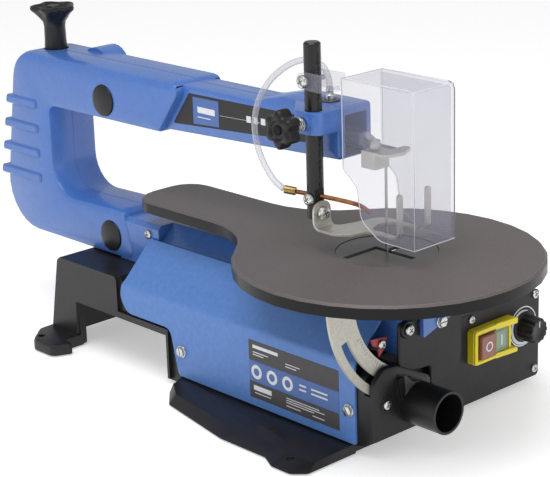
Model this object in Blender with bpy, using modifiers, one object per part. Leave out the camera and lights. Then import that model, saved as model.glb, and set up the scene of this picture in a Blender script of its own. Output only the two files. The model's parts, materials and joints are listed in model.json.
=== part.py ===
"""Bench scroll saw: a rocking-arm saw with a tilting table, as separate named pieces.

Sizes in this file are in millimetres and the helpers turn them into metres. The blade stands on
the line x = 0, y = 0, the front is -Y, the operator's right is +X and the floor is z = 0. An empty
called saw then moves everything so that the middle of the whole saw's box is the origin.
"""

import math

import bmesh
import bpy
from mathutils import Matrix, Vector

MM = 0.001

# Driving sizes
BOX_MIDDLE = (16.25, 185.0)  # middle of the saw's box, in blade coordinates
TABLE_TOP = 156.0
TABLE_DEPTH = 11.0  # height of the table's rim
TABLE_MIDDLE_X = -4.0
TABLE_RADIUS = 127.5
TABLE_CENTRE_Y = -5.5
TAIL_HALF = 36.0  # half the width of the table's tail
TABLE_REAR = 282.0
INSERT_RADIUS = 42.0
TILT_Z = 143.0  # height of the table's tilt axis, which runs along Y through the blade line
PIVOT_Y = 330.0  # both arms rock about axes at this distance behind the blade
UPPER_PIVOT_Z = 236.0
LOWER_PIVOT_Z = 106.0
BLADE_TOP = 230.0
BLADE_BOTTOM = 100.0
CASING_HALF = 28.0  # half the width of the thick, C-shaped part of the casing
ARM_HALF = 19.0  # half the width of its forward arm
TENSION_Y = 437.0
COVER_X = -63.0  # outer face of the side cover
PANEL_Y = -24.0  # back of the control panel
POST = (-34.5, 46.0)
POST_RADIUS = 7.0
CLAMP_Z = 263.0
OFF_X, ON_X = 84.3, 103.9
BUTTON_Z = 58.2
DIAL = (142.3, 57.5)
CRANK = (70.0, 56.0)  # y and z of the motor's shaft
CRANK_THROW = 4.4
LOCK = (58.9, 134.7)  # x and z of the bolt that holds the table's tilt
GAP = 0.3

pieces = {}


# ---------------------------------------------------------------- scene and materials
def clear_scene():
    for item in list(bpy.data.objects):
        bpy.data.objects.remove(item, do_unlink=True)


def new_collection(name):
    made = bpy.data.collections.new(name)
    bpy.context.scene.collection.children.link(made)
    return made


def look(name, colour, roughness=0.5, metallic=0.0, alpha=1.0):
    made = bpy.data.materials.new(name)
    made.use_nodes = True
    shader = made.node_tree.nodes["Principled BSDF"]
    shader.inputs["Base Color"].default_value = (*colour, 1.0)
    shader.inputs["Roughness"].default_value = roughness
    shader.inputs["Metallic"].default_value = metallic
    shader.inputs["Alpha"].default_value = alpha
    return made


clear_scene()
SAW = new_collection("scroll_saw")
CUTTERS = new_collection("cutters")
BLUE = look("casing_blue", (0.05, 0.15, 0.50), 0.28)
COVER_BLUE = look("cover_blue", (0.10, 0.25, 0.62), 0.55)
BLACK = look("black_casting", (0.02, 0.02, 0.022), 0.5)
TABLE_GREY = look("table_grey", (0.10, 0.09, 0.088), 0.45)
PLASTIC = look("black_plastic", (0.015, 0.015, 0.016), 0.45)
RUBBER = look("rubber", (0.02, 0.02, 0.02), 0.85)
STEEL = look("steel", (0.62, 0.62, 0.60), 0.28, 1.0)
SILVER = look("quadrant_silver", (0.68, 0.67, 0.63), 0.38, 0.6)
BRASS = look("brass", (0.60, 0.42, 0.15), 0.3, 1.0)
COPPER = look("copper", (0.62, 0.27, 0.12), 0.3, 1.0)
CLEAR = look("clear_plastic", (0.80, 0.80, 0.92), 0.08, 0.0, 0.3)
HOSE = look("hose", (0.85, 0.85, 0.88), 0.2, 0.0, 0.5)
YELLOW = look("switch_yellow", (0.85, 0.70, 0.02), 0.4)
RED = look("red", (0.55, 0.06, 0.05), 0.4)
GREEN = look("green", (0.15, 0.40, 0.20), 0.4)


# ---------------------------------------------------------------- empties that pieces hang on
def empty(name, place, parent=None, parent_place=(0.0, 0.0, 0.0)):
    made = bpy.data.objects.new(name, None)
    SAW.objects.link(made)
    made.location = (Vector(place) - Vector(parent_place)) * MM
    made.parent = parent
    made["place"] = place
    return made


SAW_EMPTY = empty("saw", (-BOX_MIDDLE[0], -BOX_MIDDLE[1], 0.0))


def pivot(name, place, parent=None):
    """An empty on a joint's axis, in blade coordinates."""
    if parent is None:
        return empty(name, place, SAW_EMPTY)
    return empty(name, place, parent, parent["place"])


ROOT = pivot("frame", (0.0, 0.0, 0.0))
TILT = pivot("table_tilt", (0.0, 0.0, TILT_Z))
UPPER_ROCK = pivot("upper_arm_rock", (0.0, PIVOT_Y, UPPER_PIVOT_Z))
LOWER_ROCK = pivot("lower_arm_rock", (0.0, PIVOT_Y, LOWER_PIVOT_Z))
BLADE_PIN = pivot("blade_swing", (0.0, 0.0, BLADE_TOP), UPPER_ROCK)
TENSION_PIN = pivot("tension_rod_swing", (0.0, TENSION_Y, UPPER_PIVOT_Z), UPPER_ROCK)
KNOB_TURN = pivot("tension_knob_turn", (0.0, TENSION_Y, 270.0), TENSION_PIN)
HOLDER_TURN = pivot("holder_screw_turn", (-13.0, -1.0, 245.0), UPPER_ROCK)
CRANK_TURN = pivot("motor_turn", (0.0, *CRANK))
POST_SLIDE = pivot("post_slide", (*POST, 256.0))
GUARD_PIN = pivot("guard_swing", (POST[0], POST[1], 297.0), POST_SLIDE)
FOOT_PIN = pivot("foot_tilt", (POST[0], 38.0, 188.0), POST_SLIDE)
CLAMP_TURN = pivot("clamp_knob_turn", (-58.5, POST[1], CLAMP_Z))
OFF_PRESS = pivot("off_press", (OFF_X, -34.0, BUTTON_Z))
ON_PRESS = pivot("on_press", (ON_X, -34.0, BUTTON_Z))
SPEED_TURN = pivot("speed_turn", (DIAL[0], -30.0, DIAL[1]))
LOCK_TURN = pivot("tilt_lock_turn", (LOCK[0], -50.0, LOCK[1]))


# ---------------------------------------------------------------- helpers for shapes
def finish(name, bm, material, parent=ROOT, cutter=False):
    """Turns a bmesh drawn in millimetres into a named object that hangs on its empty."""
    bmesh.ops.recalc_face_normals(bm, faces=bm.faces)
    bmesh.ops.scale(bm, vec=(MM, MM, MM), verts=bm.verts)
    mesh = bpy.data.meshes.new(name)
    bm.to_mesh(mesh)
    bm.free()
    made = bpy.data.objects.new(name, mesh)
    if cutter:
        CUTTERS.objects.link(made)
        made.hide_render = True
        made.display_type = "WIRE"
        made.parent = SAW_EMPTY
        return made
    mesh.materials.append(material)
    SAW.objects.link(made)
    made.parent = parent
    made.matrix_parent_inverse = Matrix.Translation(Vector(parent["place"]) * -MM)
    mesh.shade_smooth()
    mesh.set_sharp_from_angle(angle=math.radians(35))
    pieces[name] = made
    return made


def rounded(corners, steps=4):
    """An outline from corners (a, b) or (a, b, radius), each radius drawn as an arc."""
    outline = []
    count = len(corners)
    for index, corner in enumerate(corners):
        here = Vector(corner[:2])
        radius = corner[2] if len(corner) > 2 else 0.0
        before = Vector(corners[index - 1][:2]) - here
        after = Vector(corners[(index + 1) % count][:2]) - here
        if radius <= 0:
            outline.append(tuple(here))
            continue
        half = before.angle(after) / 2
        reach = radius / math.tan(half)
        start = here + before.normalized() * reach
        centre = here + (before.normalized() + after.normalized()).normalized() * (radius / math.sin(half))
        turn = math.pi - 2 * half
        if before.cross(after) > 0:
            turn = -turn
        arm = start - centre
        for step in range(steps + 1):
            angle = turn * step / steps
            outline.append(
                (
                    centre.x + arm.x * math.cos(angle) - arm.y * math.sin(angle),
                    centre.y + arm.x * math.sin(angle) + arm.y * math.cos(angle),
                )
            )
    return outline


def arc(centre, radius, start, end, steps):
    """Points on a circle from angle start to angle end, in degrees."""
    return [
        (
            centre[0] + radius * math.cos(math.radians(start + (end - start) * step / steps)),
            centre[1] + radius * math.sin(math.radians(start + (end - start) * step / steps)),
        )
        for step in range(steps + 1)
    ]


def prism(outline, axis, low, high, bevel=0.0, bevel_side="both", segments=2):
    """An outline pushed along an axis from low to high, with rounded rims where bevel is given."""
    place = {
        "x": lambda a, b, t: (t, a, b),
        "y": lambda a, b, t: (a, t, b),
        "z": lambda a, b, t: (a, b, t),
    }[axis]
    bm = bmesh.new()
    rings = [[bm.verts.new(place(a, b, level)) for a, b in outline] for level in (low, high)]
    bm.faces.new(rings[0])
    bm.faces.new(rings[1][::-1])
    count = len(outline)
    for index in range(count):
        after = (index + 1) % count
        bm.faces.new((rings[0][index], rings[0][after], rings[1][after], rings[1][index]))
    bmesh.ops.recalc_face_normals(bm, faces=bm.faces)
    if bevel > 0:
        chosen = {"low": rings[:1], "high": rings[1:], "both": rings}[bevel_side]
        verts = {vert for ring in chosen for vert in ring}
        edges = [
            edge
            for edge in bm.edges
            if edge.verts[0] in verts
            and edge.verts[1] in verts
            and any(edge.verts[0] in ring and edge.verts[1] in ring for ring in chosen)
        ]
        bmesh.ops.bevel(
            bm, geom=edges, offset=bevel, segments=segments, profile=0.5, affect="EDGES"
        )
    return bm


def box(low, high):
    bm = bmesh.new()
    bmesh.ops.create_cube(bm, size=1.0)
    size = [b - a for a, b in zip(low, high)]
    middle = [(a + b) / 2 for a, b in zip(low, high)]
    bmesh.ops.scale(bm, vec=size, verts=bm.verts)
    bmesh.ops.translate(bm, vec=middle, verts=bm.verts)
    return bm


def rod(start, end, radius, segments=20, end_radius=None):
    """A cylinder or cone from start to end."""
    start = Vector(start)
    along = Vector(end) - start
    bm = bmesh.new()
    bmesh.ops.create_cone(
        bm,
        cap_ends=True,
        segments=segments,
        radius1=radius,
        radius2=radius if end_radius is None else end_radius,
        depth=along.length,
    )
    turn = Vector((0, 0, 1)).rotation_difference(along).to_matrix().to_4x4()
    bmesh.ops.transform(bm, matrix=Matrix.Translation(start + along / 2) @ turn, verts=bm.verts)
    return bm


def turned(name, profile, place, along, material, parent=ROOT, steps=24):
    """A profile of (radius, height), top to bottom, swept round the axis along through place."""
    mesh = bpy.data.meshes.new(name)
    points = [(radius * MM, 0.0, height * MM) for radius, height in profile]
    mesh.from_pydata(points, [(n, n + 1) for n in range(len(points) - 1)], [])
    made = bpy.data.objects.new(name, mesh)
    SAW.objects.link(made)
    mesh.materials.append(material)
    made.parent = parent
    made.matrix_parent_inverse = Matrix.Translation(Vector(parent["place"]) * -MM)
    made.location = Vector(place) * MM
    made.rotation_mode = "QUATERNION"
    made.rotation_quaternion = Vector((0, 0, 1)).rotation_difference(Vector(along))
    sweep = made.modifiers.new("sweep", "SCREW")
    sweep.steps = steps
    sweep.render_steps = steps
    sweep.use_merge_vertices = True
    sweep.merge_threshold = 1e-6
    sweep.use_smooth_shade = True
    pieces[name] = made
    return made


def tube(name, points, radius, material, parent=ROOT, sides=2, smooth=None):
    """A round rod along points, as a curve with filled caps."""
    curve = bpy.data.curves.new(name, "CURVE")
    curve.dimensions = "3D"
    curve.bevel_depth = radius * MM
    curve.bevel_resolution = sides
    curve.use_fill_caps = True
    spline = curve.splines.new("POLY")
    route = smooth_route(points, smooth) if smooth else [Vector(p) for p in points]
    spline.points.add(len(route) - 1)
    for point, place in zip(spline.points, route):
        point.co = (*(place * MM), 1.0)
    made = bpy.data.objects.new(name, curve)
    SAW.objects.link(made)
    curve.materials.append(material)
    made.parent = parent
    made.matrix_parent_inverse = Matrix.Translation(Vector(parent["place"]) * -MM)
    pieces[name] = made
    return made


def smooth_route(points, count):
    """A Catmull-Rom curve through the points, read at count even steps of its parameter."""
    known = [Vector(p) for p in points]
    known = [2 * known[0] - known[1]] + known + [2 * known[-1] - known[-2]]
    route = []
    spans = len(known) - 3
    for step in range(count):
        at = spans * step / (count - 1)
        span = min(int(at), spans - 1)
        t = at - span
        a, b, c, d = known[span : span + 4]
        route.append(
            0.5 * (
                2 * b + (c - a) * t + (2 * a - 5 * b + 4 * c - d) * t**2
                + (3 * b - a - 3 * c + d) * t**3
            )
        )
    return route


def combine(target, bm, operation, name):
    """Adds or cuts a helper shape with a Boolean modifier."""
    helper = finish(name, bm, None, cutter=True)
    step = target.modifiers.new(name, "BOOLEAN")
    step.operation = operation
    step.object = helper
    step.solver = "EXACT"
    return helper


def join(target, bm, name):
    return combine(target, bm, "UNION", name)


def cut(target, bm, name):
    return combine(target, bm, "DIFFERENCE", name)


def lobed(centre, radius, depth, lobes, step):
    """The outline of a knob with rounded lobes; step is in degrees."""
    outline = []
    for degrees in range(0, 360, step):
        angle = math.radians(degrees)
        reach = radius + depth * math.cos(lobes * angle)
        outline.append((centre[0] + reach * math.cos(angle), centre[1] + reach * math.sin(angle)))
    return outline


def mirrored(outline, side):
    """The outline with its first coordinate on the given side, +1 or -1."""
    return [(side * point[0], *point[1:]) for point in outline]


def screw_head(name, place, along, radius, material=STEEL, parent=ROOT, height=3.0):
    """A domed pan head with a cross recess left to the finish; its seat is at place."""
    profile = [
        (0.0, height), (radius * 0.55, height * 0.92), (radius, height * 0.4), (radius, 0.0), (0.0, 0.0),
    ]
    return turned(name, profile, place, along, material, parent, steps=16)


# ---------------------------------------------------------------- base casting
HOLLOW_HALF = 56.0
BASE_HALF = 60.7
DECK_Z = 78.0
SKIRT = [
    (58, 197), (78, 193, 6), (97, 171, 5), (114, 84, 24), (114, 30, 8), (122, 14, 6), (122, -8, 8),
    (112, -18, 5), (58, -18),
]
REAR_PAD = [(58, 331), (82, 333, 6), (98, 340, 8), (98, 370, 12), (76, 390, 10), (58, 391)]


def skirt(side):
    """The flared foot along one side, thin at its outer edge."""
    outline = rounded(mirrored(SKIRT, side))
    bm = prism(outline, "z", 1.5, 10.5)
    for vert in bm.verts:
        if vert.co.z > 5 and abs(vert.co.x) > 66:
            vert.co.x -= side * 14 * (abs(vert.co.x) - 66) / 50
            vert.co.z -= 5.0 * (abs(vert.co.x) - 66) / 50
            vert.co.y = min(max(vert.co.y, -15.0), 190.0)
    return bm


def rear_leg(side):
    """Outer face of a rear leg and the beam above the side opening."""
    outline = [
        (280, 46), (280, 82), (283, 85.4), (366, 85.4), (370, 82), (386, 4), (386, 1.5), (346, 1.5),
        (344, 46),
    ]
    low, high = sorted((side * 50.0, side * 64.0))
    return prism(outline, "x", low, high)


def make_base():
    side_view = [(-18, 3), (-18, DECK_Z), (273, DECK_Z), (279, 85.4), (366, 85.4), (370, 82), (386, 3)]
    base = finish("base", prism(side_view, "x", -BASE_HALF, BASE_HALF), BLACK)
    for side, tag in ((-1, "left"), (1, "right")):
        join(base, skirt(side), f"skirt_{tag}")
        join(base, rear_leg(side), f"leg_{tag}")
        pad = prism(rounded(mirrored(REAR_PAD, side)), "z", 1.5, 12, 3.0, "high")
        join(base, pad, f"pad_{tag}")
        low, high = sorted((side * 55.0, side * 64.0))
        lip = prism([(209, 5), (209, 52), (285, 52), (285, 46), (214, 46), (214, 5)], "x", low, high)
        join(base, lip, f"lip_{tag}")
    cut(base, box((-HOLLOW_HALF, -13, -5), (HOLLOW_HALF, 206, DECK_Z - 4)), "front_hollow")
    rear_hollow = prism(
        [(206, -5), (206, DECK_Z - 4), (272, DECK_Z - 4), (278, 81), (362, 81), (379, -5)], "x",
        -HOLLOW_HALF + 2, HOLLOW_HALF - 2,
    )
    cut(base, rear_hollow, "rear_hollow")
    cut(base, box((-80, 212, -5), (80, 344, 46)), "leg_opening")
    cut(base, box((-24, -12, DECK_Z - 8), (24, 124, DECK_Z + 4)), "deck_opening")
    cut(base, rod((40, *CRANK), (70, *CRANK), 13), "shaft_hole")
    for side, tag in ((-1, "left"), (1, "right")):
        for y, place in ((-2, "front"), (356, "rear")):
            x = side * (92 if place == "front" else 76)
            cut(base, rod((x, y, -3), (x, y, 5.3), 8.3), f"pad_seat_{place}_{tag}")
        cut(base, rod((side * 108, 6, -3), (side * 108, 6, 20), 3.5, 14), f"bolt_hole_front_{tag}")
        cut(base, rod((side * 88, 370, -3), (side * 88, 370, 20), 3.5, 14), f"bolt_hole_rear_{tag}")
    return base


def make_rubber_feet():
    profile = [(0.0, 5.0), (8.0, 5.0), (8.0, 1.0), (7.0, 0.0), (0.0, 0.0)]
    for side, tag in ((-1, "left"), (1, "right")):
        turned(f"rubber_foot_front_{tag}", profile, (side * 92, -2, 0), (0, 0, 1), RUBBER, steps=16)
        turned(f"rubber_foot_rear_{tag}", profile, (side * 76, 356, 0), (0, 0, 1), RUBBER, steps=16)


# ---------------------------------------------------------------- covers and control panel
def make_side_cover():
    outer = [(COVER_X, 11.5), (COVER_X, 80.5, 7), (-28, 115.5)]
    inner = [(-26.6, 114.1), (COVER_X + 2, 79.7, 5), (COVER_X + 2, 11.5)]
    cover = finish("side_cover", prism(rounded(outer + inner), "y", -23, 280), COVER_BLUE)
    side_view = [
        (-23, 11.6, 2), (197, 11.6, 5), (206.5, 53.5, 9), (267, 53.5, 12), (277.5, 68, 14),
        (271.5, 84, 5), (271.5, 121), (-23, 121),
    ]
    helper = finish("cover_side_view", prism(rounded(side_view), "x", -70, -20), None, cutter=True)
    step = cover.modifiers.new("side_view", "BOOLEAN")
    step.operation = "INTERSECT"
    step.object = helper
    for tag, y, z in (("rear", 191, 36), ("front", -16, 40)):
        screw_head(f"cover_screw_{tag}", (COVER_X - GAP, y, z), (-1, 0, 0), 5.5)
    return cover


def make_front():
    panel = prism(
        rounded([(25, 7.5, 3), (164, 6.5, 4), (164, 87, 4), (25, 87, 3)]), "y", PANEL_Y - 2, PANEL_Y,
    )
    finish("front_panel", panel, BLACK)
    shell = finish("control_box", box((61, PANEL_Y + GAP, 12), (162, 12, 85)), PLASTIC)
    cut(shell, box((64, PANEL_Y - 5, 15), (159, 9, 82)), "control_box_hollow")
    outline = [
        (-29, 67, 3), (7.6, 64, 2), (7.6, 49, 4), (27, 47, 12), (46, 58, 14), (46, 110, 4), (-29, 110, 4),
    ]
    finish("pivot_cover", prism(rounded(outline), "y", -40, -37.3, 1.0, "low", 1), BLACK)


def make_dust_housing():
    """A hollow shield round the quadrant's way, open at the back, with the dust port in front."""
    front = [(-61, 8, 5), (-61, 69, 9), (-49, 79, 8), (-34, 77.5, 9), (6, 58, 8), (6, 8, 5)]
    inner = [(-58.7, 24, 2), (-58.7, 68, 7), (-48.3, 76.7, 6), (-34.6, 75.3, 7), (3.7, 56.6, 6), (3.7, 24, 2)]
    housing = finish("dust_housing", prism(rounded(front), "y", -42.6, -18.5, 3.4, "low", 2), PLASTIC)
    cut(housing, prism(rounded(inner), "y", -40.3, -10), "dust_hollow")
    underside = prism([(-60, 27), (-47, 21), (-19, 6), (-10, 6), (-10, -5), (-60, -5)], "x", -80, 20)
    cut(housing, underside, "dust_underside")
    cut(housing, prism(band(74.5, 105.5, 180, 292), "y", -38.2, -31.8), "quadrant_way")
    cut(housing, box((-31, -40.4, 52), (12, -36.9, 85)), "pivot_cover_slot")
    collar = [(-37, 68, 2), (-20, 64, 4), (-6, 56), (3, 44), (-10, 25), (-28, 30, 4)]
    join(housing, prism(rounded(collar), "y", -46.0, -41.0), "dust_collar")
    join(housing, rod((-15, -41.5, 41), (-15, -80, 41), 18, 32), "dust_pipe")
    cut(housing, rod((-15, -36, 41), (-15, -90, 41), 15.8, 32), "dust_bore")


def make_switch():
    outline = rounded([(69, 43.3, 3), (118, 43.3, 3), (118, 74.3, 3), (69, 74.3, 3)])
    frame = finish("switch_housing", prism(outline, "y", -34, PANEL_Y - 2 - GAP, 1.2, "low", 1), YELLOW)
    cut(frame, box((74, -40, 47), (114.2, -27.3, 69.6)), "switch_well")
    buttons = (("off_button", OFF_X, -37.5, RED, OFF_PRESS), ("on_button", ON_X, -34.4, GREEN, ON_PRESS))
    for name, x, face, colour, parent in buttons:
        low, high = BUTTON_Z - 10.2, BUTTON_Z + 10.2
        outline = rounded([(x - 9.0, low, 2), (x + 9.0, low, 2), (x + 9.0, high, 2), (x - 9.0, high, 2)])
        finish(name, prism(outline, "y", face, -30.2, 0.8, "low", 1), colour, parent)


def make_speed_knob():
    knob = finish(
        "speed_knob", prism(lobed(DIAL, 11.4, 0.6, 12, 10), "y", -44.6, -30.5, 1.0, "low", 1), PLASTIC,
        SPEED_TURN,
    )
    join(
        knob, rod((DIAL[0], -31, DIAL[1]), (DIAL[0], PANEL_Y - 2 - GAP, DIAL[1]), 13.2, 24, 13.2),
        "speed_skirt",
    )


# ---------------------------------------------------------------- C-shaped casing, in two halves
C_OUTLINE = [
    (297, 86, 9), (505, 86, 45), (471, 267, 34), (216, 266.5, 9), (253, 217.5, 9), (418, 216.5, 9),
    (418, 131, 30), (311, 134, 9),
]
C_HOLLOW = [
    (304, 90), (501, 90, 42), (467, 263, 30), (226, 263), (258, 221.5), (422, 220.5, 12), (422, 127, 26),
    (313, 129),
]
ARM_OUTLINE = [(33, 229, 4), (275, 218.5), (275, 264), (136, 264, 40), (100, 272.5, 40), (33, 272.5, 4)]
ARM_HOLLOW = [(20, 231.5), (262, 222.5), (262, 261), (90, 261, 24), (64, 265.5, 24), (20, 265.5)]
LUG_Z = (253.6, 272.0)


def casing_half(side, tag):
    """One half of the casing: the C, its forward arm and the channel under the table."""

    def span(inner, outer):
        return sorted((side * inner, side * outer))

    outer_side = "low" if side < 0 else "high"
    low, high = span(GAP / 2, CASING_HALF)
    shell = finish(f"casing_{tag}", prism(rounded(C_OUTLINE, 7), "x", low, high, 5.5, outer_side, 2), BLUE)
    low, high = span(GAP / 2, ARM_HALF)
    join(shell, prism(rounded(ARM_OUTLINE), "x", low, high, 3.0, outer_side, 2), f"arm_{tag}")
    channel = [
        (side * 0.15, DECK_Z + 1), (side * 22, DECK_Z + 1), (side * 22, 113), (side * 8, 128),
        (side * 0.15, 128),
    ]
    join(shell, prism(channel, "y", -37, 269), f"channel_{tag}")
    rear_channel = [
        (side * 0.15, 86), (side * 26, 86), (side * 26, 124), (side * 22, 128), (side * 0.15, 128),
    ]
    join(shell, prism(rear_channel, "y", 262, 320), f"rear_channel_{tag}")
    for number in range(4):
        z = 215.5 - 24.5 * number
        rear = 485.5 + 5.3 * number
        rib = rounded(
            [(437, z - 4.4, 2), (rear + 1, z - 4.4, 2), (rear - 1, z + 4.4, 2), (437, z + 4.4, 2)], 2,
        )
        low, high = span(GAP / 2, CASING_HALF + 2.2)
        join(shell, prism(rib, "x", low, high, 1.6, outer_side, 1), f"rib_{number}_{tag}")
    low, high = span(GAP / 2 - 1, CASING_HALF - 3.2)
    cut(shell, prism(rounded(C_HOLLOW, 5), "x", low, high), f"c_hollow_{tag}")
    low, high = span(GAP / 2 - 1, 12.5)
    cut(shell, prism(rounded(ARM_HOLLOW), "x", low, high), f"arm_hollow_{tag}")
    hollow = [(side * -1, 89.5), (side * 19, 89.5), (side * 19, 112), (side * 6.5, 125), (side * -1, 125)]
    cut(shell, prism(hollow, "y", -33, 325), f"channel_hollow_{tag}")
    low, high = span(-1, 9)
    cut(shell, box((low, -24, 110), (high, 20, 140)), f"blade_way_{tag}")
    cut(shell, box((low, 44, DECK_Z - 2), (high, 96, 95)), f"rod_way_{tag}")
    cut(shell, rod((0, TENSION_Y, 255), (0, TENSION_Y, 275), 12.3), f"knob_way_{tag}")
    for z, place in ((UPPER_PIVOT_Z, "upper"), (LOWER_PIVOT_Z, "lower")):
        low, high = span(CASING_HALF - 8, CASING_HALF + 5)
        cut(shell, rod((low, PIVOT_Y, z), (high, PIVOT_Y, z), 6.3), f"{place}_bolt_way_{tag}")
    return shell


def make_casing():
    left = casing_half(-1, "left")
    lug = rounded([(-44.4, 33.4, 10.5), (-14, 33.4), (-14, 90), (-24, 78, 20), (-44.4, 58.6, 11)])
    join(left, prism(lug, "z", *LUG_Z, 1.4, "high", 2), "lug")
    join(left, rod((-47.6, POST[1], CLAMP_Z), (-42.6, POST[1], CLAMP_Z), 6.6, 20), "lug_nose")
    cut(left, rod((*POST, LUG_Z[0] - 5), (*POST, LUG_Z[1] + 5), POST_RADIUS + GAP, 28), "post_bore")
    cut(left, rod((-60, POST[1], CLAMP_Z), (POST[0] - 4, POST[1], CLAMP_Z), 3.4, 16), "clamp_bolt_bore")
    right = casing_half(1, "right")
    boss = [(370, 258), *arc((391, 249), 22, 150, 30, 8), (412, 258)]
    join(right, prism(boss, "x", 12, 36), "tension_boss")
    for side, tag in ((-1, "left"), (1, "right")):
        for z, place in ((UPPER_PIVOT_Z, "upper"), (LOWER_PIVOT_Z, "lower")):
            profile = [(0.0, 2.4), (11.0, 2.2), (14.4, 1.2), (14.9, 0.0), (0.0, 0.0)]
            start = (side * (CASING_HALF + GAP), PIVOT_Y, z)
            turned(f"{place}_pivot_cap_{tag}", profile, start, (side, 0, 0), PLASTIC)


def make_pivots():
    for z, place in ((UPPER_PIVOT_Z, "upper"), (LOWER_PIVOT_Z, "lower")):
        finish(f"{place}_pivot_bolt", rod((-27.5, PIVOT_Y, z), (27.5, PIVOT_Y, z), 5.0, 18), STEEL)
        parent = UPPER_ROCK if place == "upper" else LOWER_ROCK
        bush = finish(f"{place}_pivot_bush", rod((-6, PIVOT_Y, z), (6, PIVOT_Y, z), 8.0, 20), BRASS, parent)
        cut(bush, rod((-8, PIVOT_Y, z), (8, PIVOT_Y, z), 5.3, 18), f"{place}_bush_bore")


# ---------------------------------------------------------------- arms, blade and tension
UPPER_ARM = [
    (446, 230), (446, 242), (300, 245), (60, 250.5), (22, 250.5), (8, 243), (-9, 243), (-9, 236),
    (12, 233), (22, 240), (60, 240), (300, 229),
]
LOWER_ARM = [(446, 100), (446, 112), (300, 114), (60, 109), (-7, 104.5), (-7, 98.5), (60, 97), (300, 98)]


def make_arms():
    upper = finish("upper_arm", prism(UPPER_ARM, "x", -4, 4), STEEL, UPPER_ROCK)
    join(upper, rod((-5, PIVOT_Y, UPPER_PIVOT_Z), (5, PIVOT_Y, UPPER_PIVOT_Z), 13, 24), "upper_eye")
    cut(upper, rod((-9, PIVOT_Y, UPPER_PIVOT_Z), (9, PIVOT_Y, UPPER_PIVOT_Z), 8.3, 20), "upper_bush_seat")
    cut(upper, rod((0, TENSION_Y, 220), (0, TENSION_Y, 250), 3.2, 16), "upper_rod_hole")
    holder = box((-21, -8, 229), (-4.6, 7, 243))
    holder = finish("upper_blade_holder", holder, STEEL, UPPER_ROCK)
    plan = [(-21, 5), (-4.8, 5), (-4.8, -9.5), (12, -9.5, 2), (12, -16, 3), (-3, -23, 4), (-21, -19, 4)]
    join(holder, prism(rounded(plan, 2), "z", 240.4, 243), "clamp_plate")
    turned(
        "holder_screw", [(0, 8.2), (3.6, 8.2), (4.2, 7.6), (4.2, 0.6), (3.6, 0.0), (0, 0)],
        (-13, -1, 243 + GAP), (0, 0, 1), STEEL, HOLDER_TURN, 20,
    )
    lower = finish("lower_arm", prism(LOWER_ARM, "x", -4, 4), STEEL, LOWER_ROCK)
    join(lower, rod((-5, PIVOT_Y, LOWER_PIVOT_Z), (5, PIVOT_Y, LOWER_PIVOT_Z), 13, 24), "lower_eye")
    cut(lower, rod((-9, PIVOT_Y, LOWER_PIVOT_Z), (9, PIVOT_Y, LOWER_PIVOT_Z), 8.3, 20), "lower_bush_seat")
    cut(lower, rod((0, TENSION_Y, 90), (0, TENSION_Y, 120), 3.2, 16), "lower_rod_hole")
    # The drive link's big end clears the crank pin all round, where the linkage is opened.
    ring = CRANK_THROW + 10.4
    join(
        lower,
        prism(
            [(CRANK[0] - 5, 60), (CRANK[0] + 5, 60), (CRANK[0] + 5, 100), (CRANK[0] - 5, 100)], "x", -3.5,
            3.5,
        ),
        "drive_link",
    )
    join(lower, rod((-3.5, *CRANK), (3.5, *CRANK), ring + 3, 24), "drive_ring")
    cut(lower, rod((-6, *CRANK), (6, *CRANK), ring, 24), "drive_ring_bore")
    cut(lower, box((-1.2, -10, 95), (1.2, 4, 110)), "lower_blade_slot")
    finish("blade", box((-0.35, -1.5, 100), (0.35, 1.5, 235.5)), STEEL, BLADE_PIN)
    cut(upper, box((-1.2, -10, 230), (1.2, 5, 250)), "upper_blade_slot")


def make_tension():
    finish("tension_rod", rod((0, TENSION_Y, 94), (0, TENSION_Y, 262), 2.9, 14), STEEL, TENSION_PIN)
    profile = [
        (0, 309.5), (7, 308.5), (19, 309.5), (22, 307.5), (22.2, 304.5), (12, 293), (10.6, 290),
        (11.2, 262.5), (0, 262.5),
    ]
    shifted = [(radius, height - 270.0) for radius, height in profile]
    turned("tension_knob", shifted, (0, TENSION_Y, 270.0), (0, 0, 1), PLASTIC, KNOB_TURN, 24)


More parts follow.
